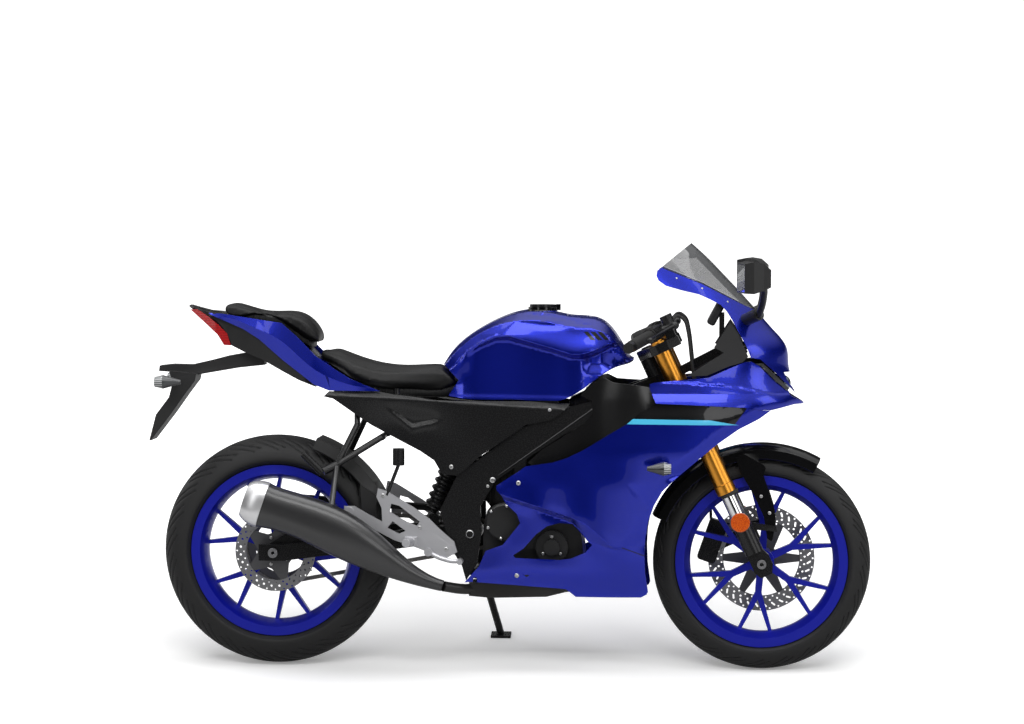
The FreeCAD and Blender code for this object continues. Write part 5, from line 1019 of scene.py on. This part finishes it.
# Tail
# A black moulded core carries the lamp, and its flanks are covered by the blue panels.
tail_black = grained("tail_black", (0.007, 0.007, 0.0075), 0.24, (420, 2), (0.1, 0.0002), ior=1.38)
red_lens = Finish("red_lens", (0.42, 0.006, 0.008), 0.24, coat=0.15, coat_roughness=0.1, ior=1.4)
lens_ribs = (red_lens.upright()[2] * 1400).sine()
red_lens.paint(lens_ribs.eased(-0.6, 0.9), (0.3, 0.004, 0.006), (0.55, 0.012, 0.014))
red_lens.bump(lens_ribs, 0.3, 0.0004)
dress(tail_black, tail_core=1.2)
dress(red_lens, tail_lamp=1)
dress(satin_plastic, plate_bracket=1.5)


# Turn signals
# Pointed black bodies behind clear ribbed lenses, over a bright reflector.
signal_finish = Finish("signal_finish", (0.05, 0.05, 0.052), 0.3, coat=0.2)
ahead, aside, up = signal_finish.upright()
in_lens = (ahead > 0.4005) * 1.0 + (ahead < -0.9665) * 1.0
signal_ribs = (up * 1100).sine()
glow_line = (abs(up - 0.561) < 0.0022) * (ahead > 0)
signal_finish.paint(
    in_lens, signal_finish.mix(glow_line, (0.05, 0.052, 0.055), (0.006, 0.006, 0.006)),
    signal_finish.mix(signal_ribs.eased(-0.3, 0.6), (0.12, 0.125, 0.13), (0.46, 0.47, 0.47)))
signal_finish.set("Metallic", in_lens * 0.5)
signal_finish.bump(signal_ribs * in_lens, 0.5, 0.0008)
dress(signal_finish, indicators=0.6)


# Nose and cockpit
# A projector lamp behind the nose opening, slim side lamps in the slots, a flat display with its
# bar scale, dark inner panels, and two mirrors with silvered glass.
def turned_plane(finish, middle_x, middle_up, degrees, mirrored=False):
    """Depth and rise, in metres, from a plate turned by an angle about its own middle.

    A mirrored plate is turned in plan, on both sides alike. The other leans back."""
    ahead, aside, up = finish.upright()
    across = (abs(aside) if mirrored else up) - middle_up
    cosine, sine = math.cos(math.radians(degrees)), math.sin(math.radians(degrees))
    return (ahead - middle_x) * cosine - across * sine, (ahead - middle_x) * sine + across * cosine


lamp_finish = Finish("lamp_finish", (0.008, 0.008, 0.009), 0.2, coat=0.6)
ahead, aside, up = lamp_finish.upright()
lamp_axis = (aside * aside + (up - 0.78) * (up - 0.78)).root()
lamp_glass = (lamp_axis < 0.0235) * (ahead > 0.718)
lamp_ring = (abs(lamp_axis - 0.0245) < 0.0014) * (ahead > 0.7)
lamp_housing = lamp_finish.mix(abs(aside) > 0.045, (0.008, 0.008, 0.009), (0.02, 0.021, 0.023))
lamp_finish.paint(lamp_glass, lamp_finish.mix(lamp_ring, lamp_housing, (0.6, 0.6, 0.62)), (0.16, 0.19, 0.24))
lamp_finish.set("Metallic", 0.8 * lamp_glass.most(lamp_ring))
lamp_finish.set("Roughness", 0.24 - 0.2 * lamp_glass)

dial_finish = Finish("dial_finish", (0.012, 0.012, 0.013), 0.42, ior=1.4)
depth, rise = turned_plane(dial_finish, 0.535, 0.972, 28)
aside = dial_finish.upright()[1]
dial_glass = (depth < -0.0105) * (abs(aside) < 0.064) * (abs(rise) < 0.029)
scale_bars = (((aside + 0.056) / 0.0062).fraction() > 0.35) * (abs(aside) < 0.055)
scale_bars = scale_bars * (rise > 0.012) * (0.019 + aside * 0.09 > rise)
digit_place, digit_rise = abs(abs(aside) - 0.012), abs(rise + 0.008)
read_out = (digit_place < 0.008) * (digit_rise < 0.011)
read_out = read_out - (digit_place < 0.0052) * (abs(digit_rise - 0.0052) < 0.0036)
dial_finish.paint(dial_glass, (0.012, 0.012, 0.013),
                  dial_finish.mix(scale_bars.most(read_out), (0.03, 0.036, 0.045), (0.5, 0.55, 0.6)))
dial_finish.set("Roughness", 0.42 - 0.32 * dial_glass)

mirror_finish = Finish("mirror_finish", (0.012, 0.012, 0.0125), 0.44, ior=1.4)
depth, across = turned_plane(mirror_finish, 0.616, 0.3, 8, mirrored=True)
silvered = (depth < -0.0148) * (abs(across) < 0.068) * (abs(mirror_finish.upright()[2] - 1.072) < 0.035)
mirror_finish.paint(silvered, (0.012, 0.012, 0.0125), (0.78, 0.8, 0.82))
mirror_finish.set("Metallic", silvered)
mirror_finish.set("Roughness", 0.44 - 0.41 * silvered)

panel_grey = grained("panel_grey", (0.035, 0.035, 0.036), 0.32, (600, 2), (0.12, 0.0002), ior=1.42)
dress(black_paint, cowl_stay=1)
dress(lamp_finish, headlamps=1)
dress(dial_finish, dials=1)
dress(panel_grey, cockpit_panels=0.8)
dress(mirror_finish, mirrors=4)
dress(satin_plastic, guards=0.8)


# Foot controls and stand
# Footrests, pedals and their plates are bright alloy. The hangers, the rear caliper and the stand are
# painted black.
dress(bright_alloy, rearset_brackets=1.6, foot_pegs=0.8, pedals=0.6)
dress(black_paint, pillion_hangers=0.8, rear_brake=1.2, side_stand=0.8)


# Fork seals
# A rubber wiper closes the foot of each gold tube round the chromed one.
rake = math.radians(25)
fork_up = to_sky * math.cos(rake) - to_front * math.sin(rake)
fork_ahead = to_front * math.cos(rake) + to_sky * math.sin(rake)
fork_half = 0.098
wiper_sections = ((203, 21.2), (203, 23.6), (205, 25.6), (209, 26.2), (213, 26.2), (214, 25.3), (214, 24))
for side, label in ((-1, "right"), (1, "left")):
    leg = nose_spindle + to_left * fork_half * side
    rings = [ring_round(leg + fork_up * height / 1000, fork_ahead, to_left, radius, 32)
             for height, radius in wiper_sections]
    wiper = smooth(rings_mesh("fork_seal", rings), 40)
    fix(link("fork_seal_" + label, wiper), soft_rubber, "fork_outer_tubes")


# Seat trays and air box
# Black moulded trays carry the seats, and an air box with its duct fills the space inside the spars.
# Their walls are ribbed.
tray_plastic = Finish("tray_plastic", (0.006, 0.006, 0.0062), 0.5, ior=1.36)
tray_plastic.bump((tray_plastic.upright()[0] * 380).sine().eased(0.2, 0.9), 0.5, 0.0015)


def moulded_box(name, stations, carrier):
    """A closed box with rounded corners along the machine, from (x, foot, top, half width) stations."""
    points_round, squareness, end_share, end_reach = 24, 0.35, 0.6, 4
    # The ends close with a smaller section a little further out.
    (first, *first_size), (last, *last_size) = stations[0], stations[-1]
    sections = [(first - end_reach, *first_size, end_share), *[(*station, 1) for station in stations],
                (last + end_reach, *last_size, end_share)]
    rings = []
    for x, foot, top, half, share in sections:
        ring = []
        for across, up in circle_points(0, 0, 1, points_round):
            across = math.copysign(abs(across) ** squareness, across) * half * share
            up = math.copysign(abs(up) ** squareness, up) * (top - foot) / 2 * share
            ring.append(spot(x, across, (top + foot) / 2 + up))
        rings.append(ring)
    fix(link(name, smooth(rings_mesh(name, rings), 40)), tray_plastic, carrier)


moulded_box("rider_tray", [(-520, 822, 838, 50), (-455, 776, 798, 84), (-400, 748, 774, 90),
                           (-319, 738, 766, 84), (-250, 736, 764, 62), (-206, 736, 768, 58),
                           (-156, 744, 786, 50)], "rider_seat")
moulded_box("pillion_tray", [(-785, 950, 968, 40), (-740, 943, 965, 56), (-700, 936, 960, 62),
                             (-650, 928, 953, 68), (-598, 888, 912, 68), (-566, 868, 888, 60)],
            "pillion_seat")
moulded_box("air_box", [(-100, 466, 520, 44), (-70, 430, 570, 62), (0, 415, 610, 66), (60, 420, 660, 66),
                        (150, 600, 726, 66)], "engine")
moulded_box("air_duct", [(140, 690, 738, 60), (190, 696, 762, 70), (238, 712, 782, 70)], "main_frame")


# Frame edge
# A thin bright bead runs along the upper edge of each spar, a painted highlight standing for the light line along
# the spar's edge.
def on_flank(tree, x, z, side):
    """The place and the way out of a skin, met from the machine's left (1) or its right (-1)."""
    hit, way = tree.ray_cast(spot(x, side * 500, z), -side * to_left, 0.5)[:2]
    if hit is None:
        return None
    return hit, -way if way.dot(side * to_left) < 0 else way


def bead(name, line, radius, finish, node):
    """A round bead on both flanks of a node, with thin ends, along a line of places."""
    tree = skin_of(bpy.data.objects[node + "_skin"])
    steps = 6
    marks = np.arange((len(line) - 1) * steps + 1) / steps
    places = np.stack([np.interp(marks, range(len(line)), column) for column in zip(*line)], axis=1)
    for side, label in ((-1, "right"), (1, "left")):
        met = [on_flank(tree, x, z, side) for x, z in places]
        hits = [hit[0] for hit in met if hit]
        rings = []
        for index, hit in enumerate(hits):
            run = (hits[min(index + 1, len(hits) - 1)] - hits[max(index - 1, 0)]).normalized()
            across = run.cross(to_left).normalized()
            size = radius if 0 < index < len(hits) - 1 else radius * 0.3
            rings.append(ring_round(hit, across, across.cross(run), size, 8))
        fix(link(name + "_" + label, smooth(rings_mesh(name, rings), 60)), finish, node)


# The bead is a painted highlight: a grey metal strip set where the spar's edge catches the light.
spar_highlight_finish = grained("spar_highlight_finish", (0.09, 0.09, 0.092), 0.3, (300, 2), (0.1, 0.0002), metallic=0.8)
bead("spar_bead", [(-52, 529), (50, 602), (120, 652), (190, 702), (216, 722)], 1.5, spar_highlight_finish, "main_frame")


# Screws and bolts
# Zinc-plated button heads with hexagon sockets hold the panels, covers and discs.
zinc = grained("zinc_plate", (0.5, 0.5, 0.5), 0.24, (900, 2), swing=0.16, metallic=1.0)
head_sections = ((1.0, -0.5, 0), (1.0, 0.18, 0), (0.93, 0.38, 0), (0.74, 0.52, 0), (0.5, 0.54, 1),
                 (0.48, 0.1, 1), (0.02, 0.1, 0))


def screw_head():
    """A head of radius 1, from sections of a radius and a height, round or, in the socket, six-sided."""
    rings = []
    for radius, height, socket in head_sections:
        corner = radius / math.cos(math.pi / 6) if socket else radius
        rings.append([(*polar(corner if step % 2 else radius, math.pi * step / 6), height)
                      for step in range(12)])
    return rings_mesh("screw_head", rings)


def bolt_circle(x, z, radius, degrees, girth):
    return [(*polar(radius, math.radians(turn), x, z), girth) for turn in degrees]


# Each screw has its x, its height and its radius.
screws = {
    "side_fairings": [(8, 515, 6.5), (3, 262, 6.5)],
    "side_covers": [(-178, 552, 6.5), (88, 709, 5)],
    "main_frame": [(-127, 370, 12), (-66, 517, 8.5), (-79, 500, 4.5)],
    "front_fender": [(660, 476, 5), (683, 431, 5)],
    "rearset_brackets": [(-190, 330, 6), (-362, 474, 6), (-262, 388, 5)],
    "upper_cowl": [(428, 1066, 3), (497, 1039, 3), (566, 1003, 3)],
    "engine": bolt_circle(-35, 403, 46, (20, 80, 140, 200, 260, 320), 5)
    + bolt_circle(95, 335, 29, (90, 215, 325), 4.5),
}
rows_of = {body: [] for body in ("chassis", "steering", "front_wheel", "rear_wheel")}
for node, places in screws.items():
    tree = skin_of(bpy.data.objects[node + "_skin"])
    for x, z, girth in places:
        # The pivot's bolt is found above its bore, and set back down over it.
        lift = 24 if girth > 10 else 0
        for side in (-1, 1):
            hit = on_flank(tree, x, z + lift, side)
            if hit:
                place = hit[0] - to_sky * lift / 1000 + hit[1] * lift / 9000
                rows_of[bodies_of[node]].append((place, hit[1], to_front, girth))
for body, ring, count, plane, side in (("front_wheel", 34, 6, 64.4, 1), ("rear_wheel", 38, 5, -76.4, -1)):
    for index in range(count):
        across, up = polar(ring, 2 * math.pi * (index + 0.5) / count)
        place = wheel_frame(body + "_spin") @ (Vector((across, plane, up)) / 1000)
        rows_of[body].append((place, to_left * side, to_front, 4.6))
for body, rows in rows_of.items():
    repeat("screws_" + body, screw_head(), rows, zinc, "silencer_cap", body=body)


# Drive chain
# A roller chain: pairs of inner plates round rollers, joined by outer plates on riveted pins.
chain_steel = grained("chain_steel", (0.2, 0.195, 0.185), 0.34, (400, 2), (0.15, 0.0002), metallic=1.0)
chain_line = 82
chain_links = 132
half_pitch = 6.33
plate_half, plate_wall = 5.2, 1.5


def chain_link(level, pin_radius, pin_half):
    """Two plates, this far from the middle, and two pins or rollers across them."""
    plate = slot_points(0, 0, 2 * half_pitch, plate_half, 0, 4)
    skins = [[[(x, side * level + rim, z) for x, z in plate] for rim in (-plate_wall / 2, plate_wall / 2)]
             for side in (-1, 1)]
    for end in (-1, 1):
        pin = circle_points(end * half_pitch, 0, pin_radius, 8)
        skins.append([[(x, y, z) for x, z in pin] for y in (-pin_half, pin_half)])
    return rings_mesh("chain_link", *skins)


def heading_of(angle):
    return np.array(polar(1, angle))


def chain_path():
    """Places and headings of every link round both sprockets."""
    rear, front = np.array([-662.5, 314.0]), np.array([-40.0, 356.0])
    rear_radius, front_radius = 103.0, 29.0
    line = front - rear
    run = np.hypot(*line)
    heading = math.atan2(line[1], line[0])
    lead = math.asin((rear_radius - front_radius) / run)
    straight = math.sqrt(run ** 2 - (rear_radius - front_radius) ** 2)
    top, foot = heading + math.pi / 2 - lead, heading - math.pi / 2 + lead
    stretches = ((rear, rear_radius, top, straight, False),
                 (front, front_radius, top, (math.pi - 2 * lead) * front_radius, True),
                 (front, front_radius, foot, straight, False),
                 (rear, rear_radius, foot, (math.pi + 2 * lead) * rear_radius, True))
    total = sum(length for *_, length, _ in stretches)
    links = []
    for index in range(chain_links):
        gone = total * index / chain_links
        for centre, radius, angle, length, bends in stretches:
            if gone < length:
                break
            gone -= length
        if bends:
            angle -= gone / radius
            gone = 0
        way = angle - math.pi / 2
        links.append((centre + radius * heading_of(angle) + gone * heading_of(way), way))
    return links


chain_rows = [(spot(x, chain_line, z), to_sky * math.cos(way) - to_front * math.sin(way),
               to_front * math.cos(way) + to_sky * math.sin(way), 1.0) for (x, z), way in chain_path()]
repeat("chain_outer_links", chain_link(5.9, 1.9, 7.3), chain_rows[1::2], chain_steel, "drive_chain",
       stands_in=True)
repeat("chain_inner_links", chain_link(4.1, 4.0, 3.3), chain_rows[::2], chain_steel, "drive_chain")
